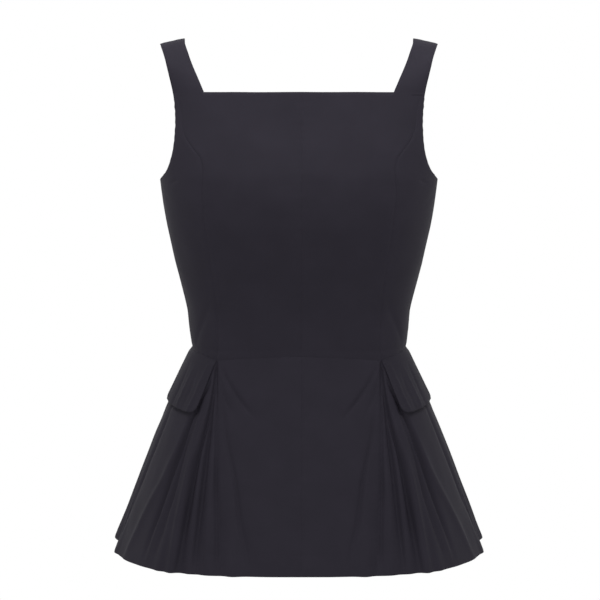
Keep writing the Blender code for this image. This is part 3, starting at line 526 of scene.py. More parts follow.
def strap_path(base, t):
    """The middle of a strap, over the shoulder from its base (y, z) to the shoulder seam."""
    sign = math.copysign(1.0, base[0])
    controls = (
        base,
        (base[0] - sign * STRAP_LEAN * STRAP_RISE, base[1] + STRAP_RISE),
        (sign * STRAP_CROWN, SHOULDER_HEIGHT),
        (sign * SEAM_GAP / 2, SHOULDER_HEIGHT),
    )
    weights = ((1 - t) ** 3, 3 * t * (1 - t) ** 2, 3 * t**2 * (1 - t), t**3)
    return [sum(w * control[i] for w, control in zip(weights, controls)) for i in range(2)]


def strap_points(along, share, back):
    """A grid of points of a strap, by how far along and across it they lie."""
    strap, neck = STRAP[back], NECK_HEIGHT[back]

    def neckline_y(x):
        return body_point(angle_at(x, neck, back), neck)[..., 1]

    along, share = along[:, None], share[None, :]
    inner, outer = read(strap, "inner", along), read(strap, "outer", along)
    x = lerp(inner, outer, share)
    middle_y = float(neckline_y((strap["inner"][0] + strap["outer"][0]) / 2))
    y, z = strap_path((middle_y, neck), along)
    base_y = neckline_y(lerp(strap["inner"][0], strap["outer"][0], share))
    y = y + (base_y - middle_y) * (1 - along) ** 2
    z = z - STRAP_TILT * along * (x - (inner + outer) / 2)
    return np.stack(np.broadcast_arrays(x, y, z), axis=-1)


def waist_arc():
    """Angles round half the waist from the centre front, and the arc length to each."""
    angles = np.linspace(0, math.pi, SAMPLES)
    return angles, lengths_along(body_point(angles, waist_height(angles)))


def hem_arc():
    """Points round half the hem's outline from the centre front, and the arc length to each."""
    corners = np.stack(list(HEM_OUTLINE.values()), axis=1)
    # A mirrored point past each end keeps the curve square to the centre plane.
    corners = np.concatenate([corners[1:2] * MIRROR, corners, corners[-2:-1] * MIRROR])
    points = [corners[1]]
    shares = np.linspace(0, 1, CURVE_SAMPLES)[1:]
    for before, start, end, after in zip(corners, corners[1:], corners[2:], corners[3:]):
        reach = np.linalg.norm(end - start)
        leave = (end - before) / (reach + np.linalg.norm(start - before)) * reach
        arrive = (after - start) / (reach + np.linalg.norm(after - end)) * reach
        points += [hermite(t, start, end, leave, arrive) for t in shares]
    return np.array(points), lengths_along(points)


WAIST_ANGLES, WAIST_LENGTHS = waist_arc()
HEM_POINTS, HEM_LENGTHS = hem_arc()


def fold_table():
    """All the folds of a half in order, with the seams and the two centre lines between them."""
    princess = [angle_at(PRINCESS[back]["x"][0], WAIST_HEIGHT, back) for back in (False, True)]
    seam_waists = np.interp((princess[0], math.pi / 2, princess[1]), WAIST_ANGLES, WAIST_LENGTHS)
    seams = {"waist": seam_waists, **SEAM_HEMS}
    totals = {"waist": WAIST_LENGTHS[-1], "hem": HEM_LENGTHS[-1], "lift": 0.0}
    columns = {}
    for name, total in totals.items():
        panels = [folds[name] for folds in PANEL_FOLDS]
        # A mirrored fold past each centre line keeps the cloth smooth across it.
        parity = 1.0 if name == "lift" else -1.0
        parts = [parity * panels[0][:1], [0.0]]
        for folds, seam in zip(panels, [*seams[name], total]):
            parts += [folds, [seam]]
        columns[name] = np.concatenate([*parts, 2 * total + parity * panels[-1][-1:]])
    return columns


def panel_spans():
    """The places among the folds of each peplum panel's two seams."""
    spans, first = {}, CENTRE_FRONT_ROW
    for place, folds in zip(PANELS, PANEL_FOLDS):
        last = first + len(folds["hem"]) + 1
        spans[place] = (first, last)
        first = last
    return spans


FOLDS = fold_table()
SPANS = panel_spans()
FOLD_ROWS = np.arange(len(FOLDS["hem"]), dtype=float)
DENSE_ROWS = np.linspace(0, len(FOLDS["hem"]) - 1, DENSE_SAMPLES)


def fold_value(name, row):
    return smooth(FOLD_ROWS, FOLDS[name], row)


DENSE_HEMS = fold_value("hem", DENSE_ROWS)


def on_hem(length):
    """A point of the hem's outline and its outward direction there, by arc length."""
    sign = np.sign(length) + (length == 0)
    beyond = np.abs(length) > HEM_LENGTHS[-1]
    wrapped = np.where(beyond, 2 * HEM_LENGTHS[-1] - np.abs(length), np.abs(length))
    side = sign * np.where(beyond, -1.0, 1.0)
    place, behind, ahead = (
        at_length(wrapped + step, HEM_LENGTHS, HEM_POINTS) for step in (0.0, -1.0, 1.0)
    )
    run = ahead - behind
    outward = np.stack([run[..., 1], -run[..., 0], np.zeros_like(wrapped)], axis=-1)
    place[..., 0] *= side
    outward[..., 0] *= side
    return place, unit(outward)


def on_waist(length):
    """A point of the waist seam, by arc length from the centre front."""
    beyond = length > WAIST_LENGTHS[-1]
    wrapped = np.where(beyond, 2 * WAIST_LENGTHS[-1] - length, np.abs(length))
    angles = np.interp(wrapped, WAIST_LENGTHS, WAIST_ANGLES)
    point = body_point(angles, waist_height(angles))
    point[..., 0] *= np.where(beyond | (length < 0), -1.0, 1.0)
    return point


def peplum_point(row, level):
    """A point of the peplum, by its place among the folds and its share of the way down."""
    row, level = np.broadcast_arrays(np.asarray(row, float), np.asarray(level, float))
    round_hem = fold_value("hem", row)
    hem, outward = on_hem(round_hem)
    lift = fold_value("lift", row) * np.maximum(level, 0.0) ** FOLD_GROWTH
    side = ease(np.clip(np.abs(round_hem) / SWELL_REACH, 0.0, 1.0))
    # The hip's swell is greatest a third of the way down.
    swell = HIP_SWELL * lerp(FRONT_SWELL, 1.0, side) * 27 / 4 * level * (1 - level) ** 2
    line = lerp(on_waist(fold_value("waist", row)), hem, level[..., None])
    return line + outward * (lift + swell)[..., None]


def peplum_row_at(x, level):
    """The place among the front folds of the point that lies x from the centre plane."""
    rows = np.linspace(0, SPANS["side_front"][1], FRONT_SAMPLES)
    return np.interp(x, peplum_point(rows, level)[:, 0], rows)


# Relief


def grid_normals(points, outward=1.0):
    """Unit normals of a grid whose columns run from front to back and whose rows run upward."""
    normals = np.cross(np.gradient(points, axis=1), np.gradient(points, axis=0))
    return unit(normals) * outward


def reaches(points):
    """How far each point of a grid lies from its first and last row, and first and last column."""
    grids = []
    for axis in range(2):
        steps = np.linalg.norm(np.diff(points, axis=axis), axis=-1)
        pad = [(1, 0) if i == axis else (0, 0) for i in range(2)]
        total = np.cumsum(np.pad(steps, pad), axis=axis)
        grids += [total, np.take(total, [-1], axis=axis) - total]
    return grids


def bell(distance, width):
    return np.exp(-((distance / width) ** 2))


def pucker(along, distance, line):
    """Small uneven gathers that a line of stitches leaves in the cloth beside it."""
    start = PUCKER_STARTS[line]
    wave = np.sin(TURN * along / PUCKER_LENGTH + start)
    second = TURN * along / (SECOND_PUCKER_LENGTH * PUCKER_LENGTH) + SECOND_PUCKER_START * start
    wave = wave + SECOND_PUCKER * np.sin(second)
    return PUCKER_DEPTH * wave * np.exp(-distance / PUCKER_REACH)


def seam_relief(distance, along, line, strength=1.0, gather=1.0):
    """A seam's fine groove, and the faint print of its pressed allowances beside it."""
    sink = -SEAM_SINK * strength * bell(distance, SEAM_SINK_WIDTH)
    ridge = SEAM_RIDGE * bell(distance - SEAM_RIDGE_PLACE, SEAM_RIDGE_WIDTH)
    return sink + ridge + gather * pucker(along, distance, line)


def edge_relief(distance, along, line):
    """A free edge: it is turned under, so it rolls in over its last millimetre or two."""
    roll = -EDGE_ROLL * bell(distance, EDGE_ROLL_WIDTH)
    return roll + EDGE_PUCKER * pucker(along, distance, line)


def eased_off(distance):
    """A seam is pressed flat where it runs out at a free edge."""
    return ease(np.clip(distance / SEAM_END, 0.0, 1.0))


def princess_relief(distance, up, level, top):
    """A princess seam, without gathers where the panel beside it is only a narrow strip."""
    strength = np.interp(level, PRINCESS_STRENGTH["height"], PRINCESS_STRENGTH["strength"])
    gather = np.clip((PRINCESS_GATHER_TOP - level) / PRINCESS_GATHER_FADE, 0.0, 1.0)
    return seam_relief(distance, up, "princess", strength, gather) * eased_off(top - level)


def hem_relief(up, across):
    """The faint line where the turned hem ends, deepest where its hand stitches catch it."""
    catch = 0.5 + 0.5 * np.sin(TURN * across / HEM_STITCH)
    line = bell(up - HEM_TURN, HEM_LINE_WIDTH)
    return -HEM_LINE_DEPTH * line * lerp(HEM_LINE_EVEN, 1.0, catch)


def ripple_relief(points, side):
    x, y, z = np.moveaxis(points * np.array([side, 1.0, 1.0]), -1, 0)
    total = np.zeros(x.shape)
    for x_length, y_length, z_length, start, lift in RIPPLES:
        phase = x / x_length + y / y_length + z / z_length
        total += lift * np.sin(TURN * phase + start)
    return total


def crease_relief(points, crease, path):
    """How far a crease lifts or sinks each point, by the point's distance from its line."""
    flat = points.reshape(-1, 3)
    nearest, width, lift = np.full((3, len(flat)), np.inf)
    for i in range(len(path) - 1):
        run = path[i + 1] - path[i]
        t = np.clip((flat - path[i]) @ run / (run @ run), 0.0, 1.0)
        distance = np.linalg.norm(flat - path[i] - t[:, None] * run, axis=1)
        closer = distance < nearest
        nearest = np.where(closer, distance, nearest)
        width = np.where(closer, lerp(*crease["width"][i : i + 2], t), width)
        lift = np.where(closer, lerp(*crease["lift"][i : i + 2], t), lift)
    return (lift / (1 + (nearest / width) ** 2) ** 2).reshape(points.shape[:-1])


def dense_crease(crease):
    """The crease with points between its rows, so that its line follows the cloth."""
    count = len(crease["width"])
    fine = np.linspace(0, count - 1, CREASE_SAMPLES * (count - 1) + 1)
    rows = np.arange(count, dtype=float)
    return {name: smooth(rows, values, fine) for name, values in crease.items()}


def peplum_relief(points, side):
    total = ripple_relief(points, side)
    for crease in map(dense_crease, PEPLUM_CREASES):
        rows = np.interp(crease["place"], DENSE_HEMS, DENSE_ROWS)
        total += crease_relief(points, crease, peplum_point(rows, crease["level"]))
    # The flap's edge presses the cloth under it into a hollow that lies in its shadow.
    rows, levels = (places[-1, ::FLAP_HOLLOW_STRIDE] for places in FLAP_PLACES[:2])
    path = peplum_point(rows, levels + FLAP_HOLLOW_DROP)
    spread = np.linspace(0, 1, len(path))
    hollow = {
        name: np.interp(spread, np.linspace(0, 1, len(values)), values)
        for name, values in dense_crease(FLAP_HOLLOW).items()
    }
    return total + crease_relief(points, hollow, path)


def bodice_relief(points, side):
    total = ripple_relief(points, side)
    for crease in map(dense_crease, BODICE_CREASES):
        path = body_point(np.radians(crease["place"]), crease["level"])
        total += crease_relief(points, crease, path)
    return total


# Meshes


def link_object(name, data):
    made = bpy.data.objects.new(name, data)
    bpy.context.scene.collection.objects.link(made)
    return made


def mesh_object(name, vertices, faces, look, uv=None):
    mesh = bpy.data.meshes.new(name)
    mesh.from_pydata((vertices * MM).tolist(), [], faces)
    if uv is not None:
        layer = mesh.uv_layers.new(name="UVMap")
        corners = np.empty(len(mesh.loops), np.int32)
        mesh.loops.foreach_get("vertex_index", corners)
        layer.data.foreach_set("uv", (uv[corners] * MM).astype(np.float32).ravel())
    mesh.shade_smooth()
    mesh.update()
    mesh.materials.append(look)
    return link_object(name, mesh)


def shell(name, points, look, free, side=1.0, normals=None, cells=None, wall=WALL):
    """A thin closed wall of cloth under a grid of outer points, rounded at its free edges."""
    normals = grid_normals(points) if normals is None else normals
    rows, columns = points.shape[:2]
    count = rows * columns
    index = np.arange(count).reshape(rows, columns)
    corners = [index[:-1, :-1], index[:-1, 1:], index[1:, 1:], index[1:, :-1]]
    quads = np.stack(corners, axis=-1)
    quads = quads.reshape(-1, 4) if cells is None else quads[cells]
    flat_points = points.reshape(-1, 3)
    flat_normals = normals.reshape(-1, 3)
    starts = quads.ravel()
    ends = np.roll(quads, -1, axis=1).ravel()
    border = ~np.isin(starts * count + ends, ends * count + starts)
    starts, ends = starts[border], ends[border]
    out = np.cross(flat_points[ends] - flat_points[starts], flat_normals[starts])
    # Where a seam meets a free edge, the free edge alone says which way is outward.
    loose = free.ravel()
    weight = np.maximum(loose[starts] * loose[ends], 1e-4)[:, None]
    tangents = np.zeros((count, 3))
    for ring in (starts, ends):
        np.add.at(tangents, ring, unit(out) * weight)
    rim = np.unique(starts)
    place = np.zeros(count, int)
    place[rim] = np.arange(len(rim))
    tangent = unit(tangents[rim])
    # A free edge is round, and a seam's edge tucks under its neighbour's.
    rings = []
    for turn, tuck in RIM_RINGS:
        turn = math.radians(turn)
        inward = flat_normals[rim] * wall / 2 * (1 - math.cos(turn))
        reach = lerp(SEAM_TUCK * tuck, wall / 2 * math.sin(turn), loose[rim][:, None])
        rings.append(flat_points[rim] - inward + tangent * reach)
    vertices = np.concatenate([flat_points, flat_points - flat_normals * wall, *rings])
    faces = [quads, quads[:, ::-1] + count]
    loops = [(starts, ends)]
    for base in 2 * count + len(rim) * np.arange(len(rings)):
        loops.append((base + place[starts], base + place[ends]))
    loops.append((starts + count, ends + count))
    for (start, end), (next_start, next_end) in zip(loops, loops[1:]):
        faces.append(np.stack([end, start, next_start, next_end], axis=1))
    faces = np.concatenate(faces)
    up, _, across, _ = reaches(points)
    across = across - across[:, columns // 2][:, None]
    flat_uv = np.stack([across, up], axis=-1).reshape(-1, 2)
    uv = np.concatenate([flat_uv, flat_uv, *[flat_uv[rim]] * len(rings)])
    if side < 0:
        faces = faces[:, ::-1]
        vertices = vertices * MIRROR
        uv = uv * MIRROR[:2]
    used, faces = np.unique(faces, return_inverse=True)
    return mesh_object(name, vertices[used], faces.reshape(-1, 4).tolist(), look, uv[used])


def raised(name, side, look, base, normals, relief, free, wall=WALL):
    """A panel's shell, from its grid, its relief and the parts of its rim that are free edges."""
    loose = np.zeros(base.shape[:2])
    for part in free:
        loose[part] = 1.0
    points = base + normals * relief[..., None]
    return shell(name + "_cloth", points, look, loose, side, wall=wall)


# Pieces


def main_panel_grid(side, back):
    """A front or back panel's base grid: body rows up to the neckline, then its strap."""
    strap, neck, princess_top = STRAP[back], NECK_HEIGHT[back], PRINCESS_TOP[back]
    start = SEAM_GAP / 2 + (0.0 if back else side * CENTRE_SEAM)
    top = body_point(armhole_angle(neck, back), neck)[0]
    split = (strap["inner"][0] - start) / (top - start)
    width = strap["outer"][0] - start
    body_shares = graded(width * split, STEP) * split
    strap_shares = graded(width * (1 - split), STEP)
    shares = np.concatenate([body_shares, split + strap_shares[1:] * (1 - split)])
    lower = lerp(WAIST_HEIGHT, princess_top, graded(princess_top - WAIST_HEIGHT, STEP))
    rise = graded(neck - princess_top, STEP) if back else np.linspace(0, 1, FRONT_NECK_ROWS)
    nominals = np.concatenate([lower, lerp(princess_top + PRINCESS_END, neck, rise)])
    rows = []
    for nominal in nominals:
        if nominal <= princess_top:
            edge = seam_angle(nominal, -SEAM_GAP / 2, back)
        else:
            edge = armhole_angle(nominal, back)
        xs = lerp(start, body_point(edge, row_height(edge, nominal))[0], shares)
        heights = row_height(angle_at(xs, nominal, back), nominal)
        rows.append(body_point(angle_at(xs, heights, back), heights))
    along = graded(STRAP_LENGTH, STEP)[1:]
    return np.array(rows), strap_points(along, strap_shares, back), len(body_shares) - 1, nominals


def main_panel(name, side, look, back):
    """A front or back panel of the bodice, cut in one with its strap."""
    rows, strap, split, nominals = main_panel_grid(side, back)
    princess_top = PRINCESS_TOP[back]
    outward = -1.0 if back else 1.0
    count = len(rows)
    filler = np.repeat(strap[:, :1], split, axis=1)
    base = np.concatenate([rows, np.concatenate([filler, strap], axis=1)])

    def facing(points):
        normals = np.empty_like(points)
        normals[:count] = grid_normals(points[:count], outward)
        column = grid_normals(points[:, split:], outward)
        normals[:, split + 1 :] = column[:, 1:]
        normals[count:, : split + 1] = column[count:, :1]
        return normals

    up, _, across, _ = reaches(base)
    to_outer = np.full(base.shape[:2], FAR)
    _, to_shoulder, to_inner, to_outer[:, split:] = reaches(base[:, split:])
    _, to_neck, _, to_outer[:count] = reaches(rows)
    strap_rise = up[count:, -1] - up[count - 1, -1]
    levels = np.concatenate([nominals, nominals[-1] + strap_rise])[:, None]
    relief = bodice_relief(base, side)
    relief *= 1 - np.clip((levels - nominals[-1]) / STRAP_FADE, 0.0, 1.0)
    centre = seam_relief(across, up, "centre", CENTRE_STRENGTH[back])[:count]
    relief[:count] += centre * eased_off(to_neck)
    relief[:count] += seam_relief(up, across, "waist", WAIST_STRENGTH)[:count]
    princess = princess_relief(to_outer, up, base[..., 2], princess_top)
    armhole = edge_relief(to_outer, up, "princess")
    relief += np.where(levels <= princess_top, princess, armhole)
    neckline = edge_relief(to_neck, across[:count], "neck")
    relief[:count, : split + 1] += neckline[:, : split + 1]
    relief[count:, split:] += edge_relief(to_inner[count:], up[count:, split:], "strap")
    inside = eased_off(np.minimum(to_inner, to_outer[:, split:]))
    relief[:, split:] += seam_relief(to_shoulder, across[:, split:], "shoulder") * inside
    points = base + facing(base) * relief[..., None]
    normals = facing(points)
    cells = np.ones((len(base) - 1, base.shape[1] - 1), bool)
    cells[count - 1 :, :split] = False
    free = np.zeros(base.shape[:2])
    free[count - 1, :split] = 1.0
    free[count - 1 : -1, split] = 1.0
    free[:-1, -1] = levels[:-1, 0] > princess_top
    if back:
        points, normals, cells, free = (grid[:, ::-1] for grid in (points, normals, cells, free))
    return shell(name + "_cloth", points, look, free, side, normals, cells)


def side_panel(name, side, look, back):
    """A side panel of the bodice, between a princess seam, the side seam and the armhole."""
    top = PRINCESS_TOP[back]
    turn = ARMHOLE[back]["height"][0]
    lower = lerp(WAIST_HEIGHT, UNDERARM_HEIGHT, graded(UNDERARM_HEIGHT - WAIST_HEIGHT, STEP))
    bend = 1 - np.cos(np.linspace(0, math.pi / 2, UNDERARM_ROWS)[1:])
    curve = UNDERARM_HEIGHT + (turn - UNDERARM_HEIGHT) * bend
    upper = lerp(turn, top, graded(top - turn, STEP)[1:])
    nominals = np.concatenate([lower, curve, upper])
    shares = graded(SIDE_PANEL_WIDTH, STEP)
    rows = []
    for nominal in nominals:
        inner = seam_angle(nominal, SEAM_GAP / 2, back)
        outer = side_angle(back)
        if nominal > UNDERARM_HEIGHT:
            edge = armhole_angle(nominal, back)
            outer = max(edge, outer) if back else min(edge, outer)
        angles = lerp(outer, inner, shares) if back else lerp(inner, outer, shares)
        rows.append(body_point(angles, row_height(angles, nominal)))
    base = np.array(rows)
    level = base[..., 2]
    up, _, across, to_last = reaches(base)
    to_princess, to_outer = (to_last, across) if back else (across, to_last)
    relief = bodice_relief(base, side)
    relief += seam_relief(up, across, "waist", WAIST_STRENGTH)
    relief += princess_relief(to_princess, up, level, top)
    side_seam = seam_relief(to_outer, up, "side") * eased_off(UNDERARM_HEIGHT - level)
    under = (nominals <= UNDERARM_HEIGHT)[:, None]
    relief += np.where(under, side_seam, edge_relief(to_outer, up, "side"))
    free = [(nominals > UNDERARM_HEIGHT, 0 if back else -1)]
    return raised(name, side, look, base, grid_normals(base), relief, free)


def peplum_panel(name, side, look, first, last):
    """A panel of the peplum, between two seams: its points are even by arc length at the hem."""
    start, end = fold_value("hem", np.array([first, last], float))
    hems = lerp(start, end, graded(end - start, FOLD_STEP))
    places = np.interp(hems, DENSE_HEMS, DENSE_ROWS)
    places[0], places[-1] = first, last
    rows = []
    for level in graded(PEPLUM_DEPTH, STEP)[::-1]:
        columns = places
        if first == CENTRE_FRONT_ROW:
            seam = peplum_row_at(side * CENTRE_SEAM, level)
            columns = seam + (places - first) * (last - seam) / (last - first)
        rows.append(peplum_point(columns, level))
    base = np.array(rows)
    up, down, across, to_last = reaches(base)
    seams = seam_relief(across, up, "centre") + seam_relief(to_last, up, "princess")
    relief = peplum_relief(base, side) + seams * eased_off(up)
    relief += seam_relief(down, across, "waist", WAIST_STRENGTH)
    relief += edge_relief(up, across, "hem") + hem_relief(up, across)
    return raised(name, side, look, base, grid_normals(base), relief, [0])


def eased(grid):
    """The grid without its short waves, along its columns and, but for its ends, its rows."""
    for _ in range(FLAP_EASE):
        grid = grid.copy()
        grid[1:-1] = (grid[:-2] + 2 * grid[1:-1] + grid[2:]) / 4
        grid[:, 1:-1] = (grid[:, :-2] + 2 * grid[:, 1:-1] + grid[:, 2:]) / 4
    return grid


def flap_places():
    """Where the flap lies over the peplum: its grid's places among the folds, levels, steps."""
    dense = np.linspace(SPANS["front"][1] - 1, SPANS["side_back"][1], SAMPLES)
    waists, hems = fold_value("waist", dense), fold_value("hem", dense)
    top_front = np.interp(peplum_row_at(FLAP_FRONT_X[0], 0.0), FOLD_ROWS, FOLDS["waist"])
    width = FLAP_BACK_WAIST - top_front
    corner = FLAP_CORNER / width
    ends = corner * (1 - np.cos(np.linspace(0, math.pi / 2, CORNER_POINTS)))
    middle = np.linspace(corner, 1 - corner, int((width - 2 * FLAP_CORNER) / FLAP_STEP))
    columns = np.concatenate([ends, middle[1:-1], 1 - ends[::-1]])
    steps = graded(FLAP_BOTTOM[0] * PEPLUM_DEPTH, FLAP_STEP)
    sample = np.linspace(0, FLAP_BOTTOM[0], FLAP_FRONT_SAMPLES)
    fronts = [peplum_row_at(lerp(*FLAP_FRONT_X, s / FLAP_BOTTOM[0]), s) for s in sample]
    rows = np.empty((len(steps), len(columns)))
    levels = np.empty_like(rows)
    for j, column in enumerate(columns):
        inside = np.clip(1 - min(column, 1 - column) / corner, 0.0, 1.0)
        cut = FLAP_CORNER / PEPLUM_DEPTH * (1 - math.sqrt(1 - inside**2))
        drop = lerp(*FLAP_BOTTOM, column) - cut
        levels[:, j] = SEAM_GAP / 2 / PEPLUM_DEPTH + drop * steps
        for i, (level, step) in enumerate(zip(levels[:, j], steps)):
            girth = lerp(waists, hems, level)
            start = np.interp(np.interp(level, sample, fronts), dense, girth)
            reach = width + FLAP_WIDTH_GAIN * step
            rows[i, j] = np.interp(start + reach * column, girth, dense)
    return rows, levels, steps


FLAP_PLACES = flap_places()


def flap_panel(name, side, look):
    """The flap: points of the peplum under it, moved out, over its own rows and columns."""
    rows, levels, steps = FLAP_PLACES
    base = eased(peplum_point(rows, levels)[::-1])
    normals = unit(eased(grid_normals(base)))
    proud = (FLAP_GAP + FLAP_LIFT * steps**2)[::-1][:, None]
    up, down, across, to_last = reaches(base)
    caught = np.clip(down / FLAP_CATCH, 0, 1)
    relief = lerp(FLAP_TOP_RISE, FLAP_WALL + proud, ease(caught))
    relief += FLAP_RIPPLE * ripple_relief(base, side)
    shares = across[-1] / across[-1, -1]
    for wave in map(dense_crease, FLAP_WAVES):
        down_row = (1 - wave["level"]) * (len(base) - 1)
        column = np.interp(wave["place"], shares, np.arange(base.shape[1]))
        path = base[np.rint(down_row).astype(int), np.rint(column).astype(int)]
        relief += crease_relief(base, wave, path) * caught
    relief += edge_relief(up, across, "hem")
    relief += edge_relief(across, up, "centre") + edge_relief(to_last, up, "princess")
    free = [0, np.s_[:-1, 0], np.s_[:-1, -1]]
    return raised(name, side, look, base, normals, relief, free, FLAP_WALL)


def tape_grid():
    """The tape's face towards the cloth: flat across, it follows the back from the hip up."""
    levels = np.linspace(ZIP_HIP_LEVEL, 0.0, TAPE_ROWS[0])[:-1]
    hip = peplum_point(float(SPANS["back"][1]), levels)
    heights = np.linspace(float(waist_height(math.pi)), ZIP_TOP, TAPE_ROWS[1])
    line = np.concatenate([hip, body_point(math.pi, heights)])
    line[:, 0] = 0.0
    run = unit(np.gradient(line, axis=0))
    normals = np.stack([np.zeros(len(line)), run[:, 2], -run[:, 1]], axis=-1)
    line = line - normals * TAPE_DEPTH
    half = np.linspace(0, ZIP_TAPE_WIDTH / 2, TAPE_HALF_COLUMNS)
    xs = np.concatenate([half[::-1], -half[1:]])
    points = line[:, None] + xs[None, :, None] * np.array([1.0, 0.0, 0.0])
    # The tape has a shallow groove at the teeth, and another inside each thick woven edge.
    groove = sum(-depth * bell(np.abs(xs) - x, width) for x, depth, width in TAPE_GROOVES)
    points = points + groove[None, :, None] * normals[:, None]
    return points, np.repeat(normals[:, None], len(xs), axis=1)


def coil_piece(middle, normals, look):
    """The zip's teeth: a fine coil down the middle of the tape's inner face."""
    lengths = lengths_along(middle)
    span = lengths[-1] - COIL_MARGIN_TOP - COIL_MARGIN_BOTTOM
    count = int(span / COIL_PITCH) * COIL_TURN_POINTS
    along = COIL_MARGIN_BOTTOM + np.linspace(0, span, count)
    place = at_length(along, lengths, middle)
    out = unit(at_length(along, lengths, normals))
    run = unit(np.gradient(place, axis=0))
    turn = TURN * np.arange(count) / COIL_TURN_POINTS
    wire = place - out * (TAPE_WALL + COIL_DEPTH + COIL_WIRE)
    wire = wire + np.cross(run, out) * (COIL_HALF_WIDTH * np.cos(turn))[:, None]
    wire = wire + out * (COIL_DEPTH * np.sin(turn))[:, None]
    heading = unit(np.gradient(wire, axis=0))
    first = unit(np.cross(heading, run))[:, None]
    second = np.cross(heading, first[:, 0])[:, None]
    angles = (TURN * np.arange(COIL_SIDES) / COIL_SIDES)[None, :, None]
    ring = first * np.cos(angles) + second * np.sin(angles)
    vertices = (wire[:, None] + COIL_WIRE * ring).reshape(-1, 3)
    index = np.arange(count * COIL_SIDES).reshape(count, COIL_SIDES)
    after = np.roll(index, -1, axis=1)
    quads = np.stack([index[:-1], after[:-1], after[1:], index[1:]], axis=-1).reshape(-1, 4)
    caps = [index[0][::-1].tolist(), index[-1].tolist()]
    return mesh_object("zip_coil", vertices, quads.tolist() + caps, look)


# Materials


def material(name, **settings):
    """A new material, its node tree and its shader, whose settings have _ for each space."""
    made = bpy.data.materials.new(name)
    made.use_nodes = True
    shader = made.node_tree.nodes["Principled BSDF"]
    for setting, value in settings.items():
        shader.inputs[setting.replace("_", " ")].default_value = value
    return made, made.node_tree, shader


def node(tree, kind, **settings):
    """A new node: a setting is a socket's name with _ for each space, or a property's name."""
    made = tree.nodes.new(kind)
    for setting, value in settings.items():
        socket = setting.replace("_", " ")
        if socket in made.inputs:
            made.inputs[socket].default_value = value
        else:
            setattr(made, setting, value)
    return made


def wire_up(tree, *links):
    """Links nodes, each link given as a node, its output, the next node and its input."""
    for source, output, target, socket in links:
        tree.links.new(source.outputs[output], target.inputs[socket])


def color_mix(tree, dark, light):
    return node(tree, "ShaderNodeMix", data_type="RGBA", A=(*dark, 1.0), B=(*light, 1.0))


def cloth_material(name):
    """Fine plain-woven cloth: threads in the relief, and slow uneven shade."""
    made, tree, shader = material(name, Roughness=0.7, Specular_IOR_Level=0.07)
    coords = node(tree, "ShaderNodeUVMap", uv_map="UVMap")
    warp, weft = (
        node(tree, "ShaderNodeTexWave", bands_direction=way, Scale=scale, Distortion=0.6)
        for way, scale in (("X", WARP_SCALE), ("Y", WEFT_SCALE))
    )
    threads = node(tree, "ShaderNodeMath", operation="MULTIPLY")
    slub = node(tree, "ShaderNodeTexNoise", Scale=1400.0, Detail=2.0)
    patch = node(tree, "ShaderNodeTexNoise", Scale=22.0, Detail=3.0)
    shade = node(tree, "ShaderNodeMath", operation="MULTIPLY_ADD")
    shade.inputs[1].default_value = SLUB_SHARE
    mix = color_mix(tree, *CLOTH_COLORS[name])
    bump = node(tree, "ShaderNodeBump", Strength=0.25, Distance=0.00012)
    wire_up(
        tree,
        *((coords, "UV", texture, "Vector") for texture in (warp, weft, slub, patch)),
        (warp, "Fac", threads, 0),
        (weft, "Fac", threads, 1),
        (slub, "Fac", shade, 0),
        (patch, "Fac", shade, 2),
        (shade, 0, mix, "Factor"),
        (mix, "Result", shader, "Base Color"),
        (threads, 0, bump, "Height"),
        (bump, "Normal", shader, "Normal"),
    )
    return made


def uneven_material(name, noise, roughness, relief, colors=None, **settings):
    """A hard look: one noise gives its roughness, its relief and, between two, its colour."""
    made, tree, shader = material(name, **settings)
    coords = node(tree, "ShaderNodeTexCoord")
    noise = node(tree, "ShaderNodeTexNoise", Scale=noise[0], Detail=noise[1])
    rough = node(tree, "ShaderNodeMapRange", To_Min=roughness[0], To_Max=roughness[1])
    bump = node(tree, "ShaderNodeBump", Strength=relief, Distance=0.00005)
    wire_up(
        tree,
        (coords, "Object", noise, "Vector"),
        (noise, "Fac", rough, "Value"),
        (rough, "Result", shader, "Roughness"),
        (noise, "Fac", bump, "Height"),
        (bump, "Normal", shader, "Normal"),
    )
    if colors:
        mix = color_mix(tree, *colors)
        wire_up(tree, (noise, "Fac", mix, "Factor"), (mix, "Result", shader, "Base Color"))
    return made


def floor_material():
    """A pale floor that fades into the white round it, and from below is clear to show the hem."""
    made, tree, shader = material("floor", Base_Color=FLOOR_COLOR, Roughness=0.9)
    coords = node(tree, "ShaderNodeTexCoord")
    flat = node(tree, "ShaderNodeVectorMath", operation="MULTIPLY")
    flat.inputs[1].default_value = (1.0, 1.0, 0.0)
    away = node(tree, "ShaderNodeVectorMath", operation="LENGTH")
    fade = node(tree, "ShaderNodeMapRange", From_Min=FLOOR_SOLID, From_Max=FLOOR_REACH)
    fade.interpolation_type = "SMOOTHERSTEP"
    hidden = node(tree, "ShaderNodeMath", operation="MAXIMUM")
    mix = node(tree, "ShaderNodeMixShader")
    wire_up(
        tree,
        (coords, "Object", flat, 0),
        (flat, "Vector", away, 0),
        (away, "Value", fade, "Value"),
        (fade, "Result", hidden, 0),
        (node(tree, "ShaderNodeNewGeometry"), "Backfacing", hidden, 1),
        (hidden, 0, mix, "Fac"),
        (shader, "BSDF", mix, 1),
        (node(tree, "ShaderNodeBsdfTransparent"), "BSDF", mix, 2),
        (mix, "Shader", tree.nodes["Material Output"], "Surface"),
    )
    return made


# Studio


def aimed_object(name, data, place, direction):
    made = link_object(name, data)
    made.location = place
    made.rotation_mode = "QUATERNION"
    made.rotation_quaternion = direction.to_track_quat("-Z", "Y")
    return made


def camera():
    data = bpy.data.cameras.new("camera")
    data.sensor_width = CAMERA_SENSOR
    data.lens = CAMERA_LENS
    made = aimed_object("camera", data, CAMERA_PLACE, Vector(CAMERA_AIM))
    bpy.context.scene.camera = made


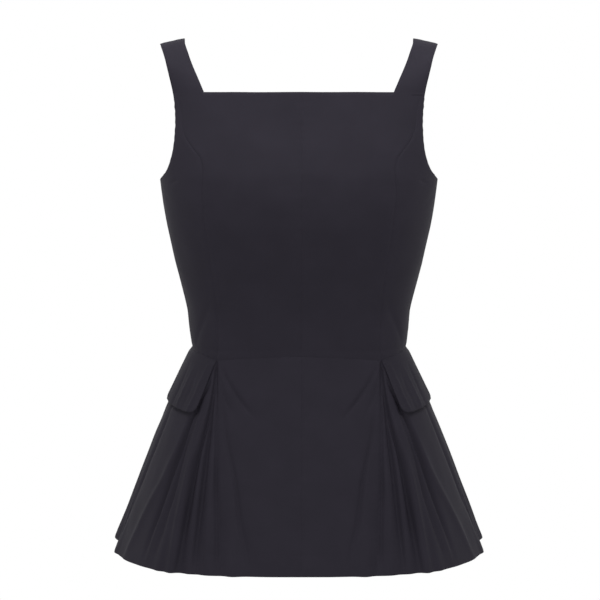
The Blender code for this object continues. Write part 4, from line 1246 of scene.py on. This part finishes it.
def studio():
    world = bpy.data.worlds.new("studio")
    world.use_nodes = True
    background = world.node_tree.nodes["Background"]
    background.inputs["Color"].default_value = (1.0, 1.0, 1.0, 1.0)
    background.inputs["Strength"].default_value = 1.0
    bpy.context.scene.world = world
    bpy.context.scene.view_settings.view_transform = "Standard"
    for name, place, target, size, power in LIGHTS:
        data = bpy.data.lights.new(name, "AREA")
        data.shape = "RECTANGLE"
        data.size, data.size_y = size
        data.energy = power
        aimed_object(name, data, place, Vector(target) - Vector(place))
    mesh = bpy.data.meshes.new("floor")
    turns = np.linspace(0, TURN, FLOOR_CORNERS, endpoint=False)
    ring = [(FLOOR_REACH * math.cos(t), FLOOR_REACH * math.sin(t), FLOOR_HEIGHT) for t in turns]
    mesh.from_pydata(ring, [], [tuple(range(len(ring)))])
    mesh.materials.append(floor_material())
    link_object("floor", mesh)


# The top


def dress(piece):
    """Puts a cloth piece on its body and hides the solid that it replaces."""
    node_name = piece.name.removesuffix("_cloth")
    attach(piece, "cloth")
    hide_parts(node_name)


def zip_parts():
    """The zip's tape, which replaces its solid, and the coil of teeth on it."""
    points, normals = tape_grid()
    look = cloth_material("zip_tape_cloth")
    rim = np.ones(points.shape[:2])
    tape = shell("zip_tape_cloth", points, look, rim, normals=normals, wall=TAPE_WALL)
    middle = points[:, TAPE_HALF_COLUMNS - 1]
    nylon = uneven_material("zip_coil", **NYLON)
    coil = coil_piece(middle, normals[:, TAPE_HALF_COLUMNS - 1], nylon)
    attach(coil, "cloth")
    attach(tape, "cloth")
    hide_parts("zip_tape")


def garment():
    bodice, peplum, flap = map(cloth_material, ("bodice_cloth", "peplum_cloth", "flap_cloth"))
    for side, suffix in ((1.0, "left"), (-1.0, "right")):
        front, back = (
            main_panel(f"bodice_{face}_{suffix}", side, bodice, face == "back") for face in FACES
        )
        dress(front)
        dress(back)
        for face, beside in zip(FACES, (front, back)):
            piece = side_panel(f"bodice_side_{face}_{suffix}", side, bodice, face == "back")
            dress(piece)
        for place, span in SPANS.items():
            piece = peplum_panel(f"peplum_{place}_{suffix}", side, peplum, *span)
            dress(piece)
        piece = flap_panel(f"pocket_flap_{suffix}", side, flap)
        dress(piece)


camera()
studio()
garment()
metal = uneven_material("zip_metal", **METAL)
for name in ("zip_slider", "zip_pull"):
    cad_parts[name].data.materials[0] = metal
zip_parts()
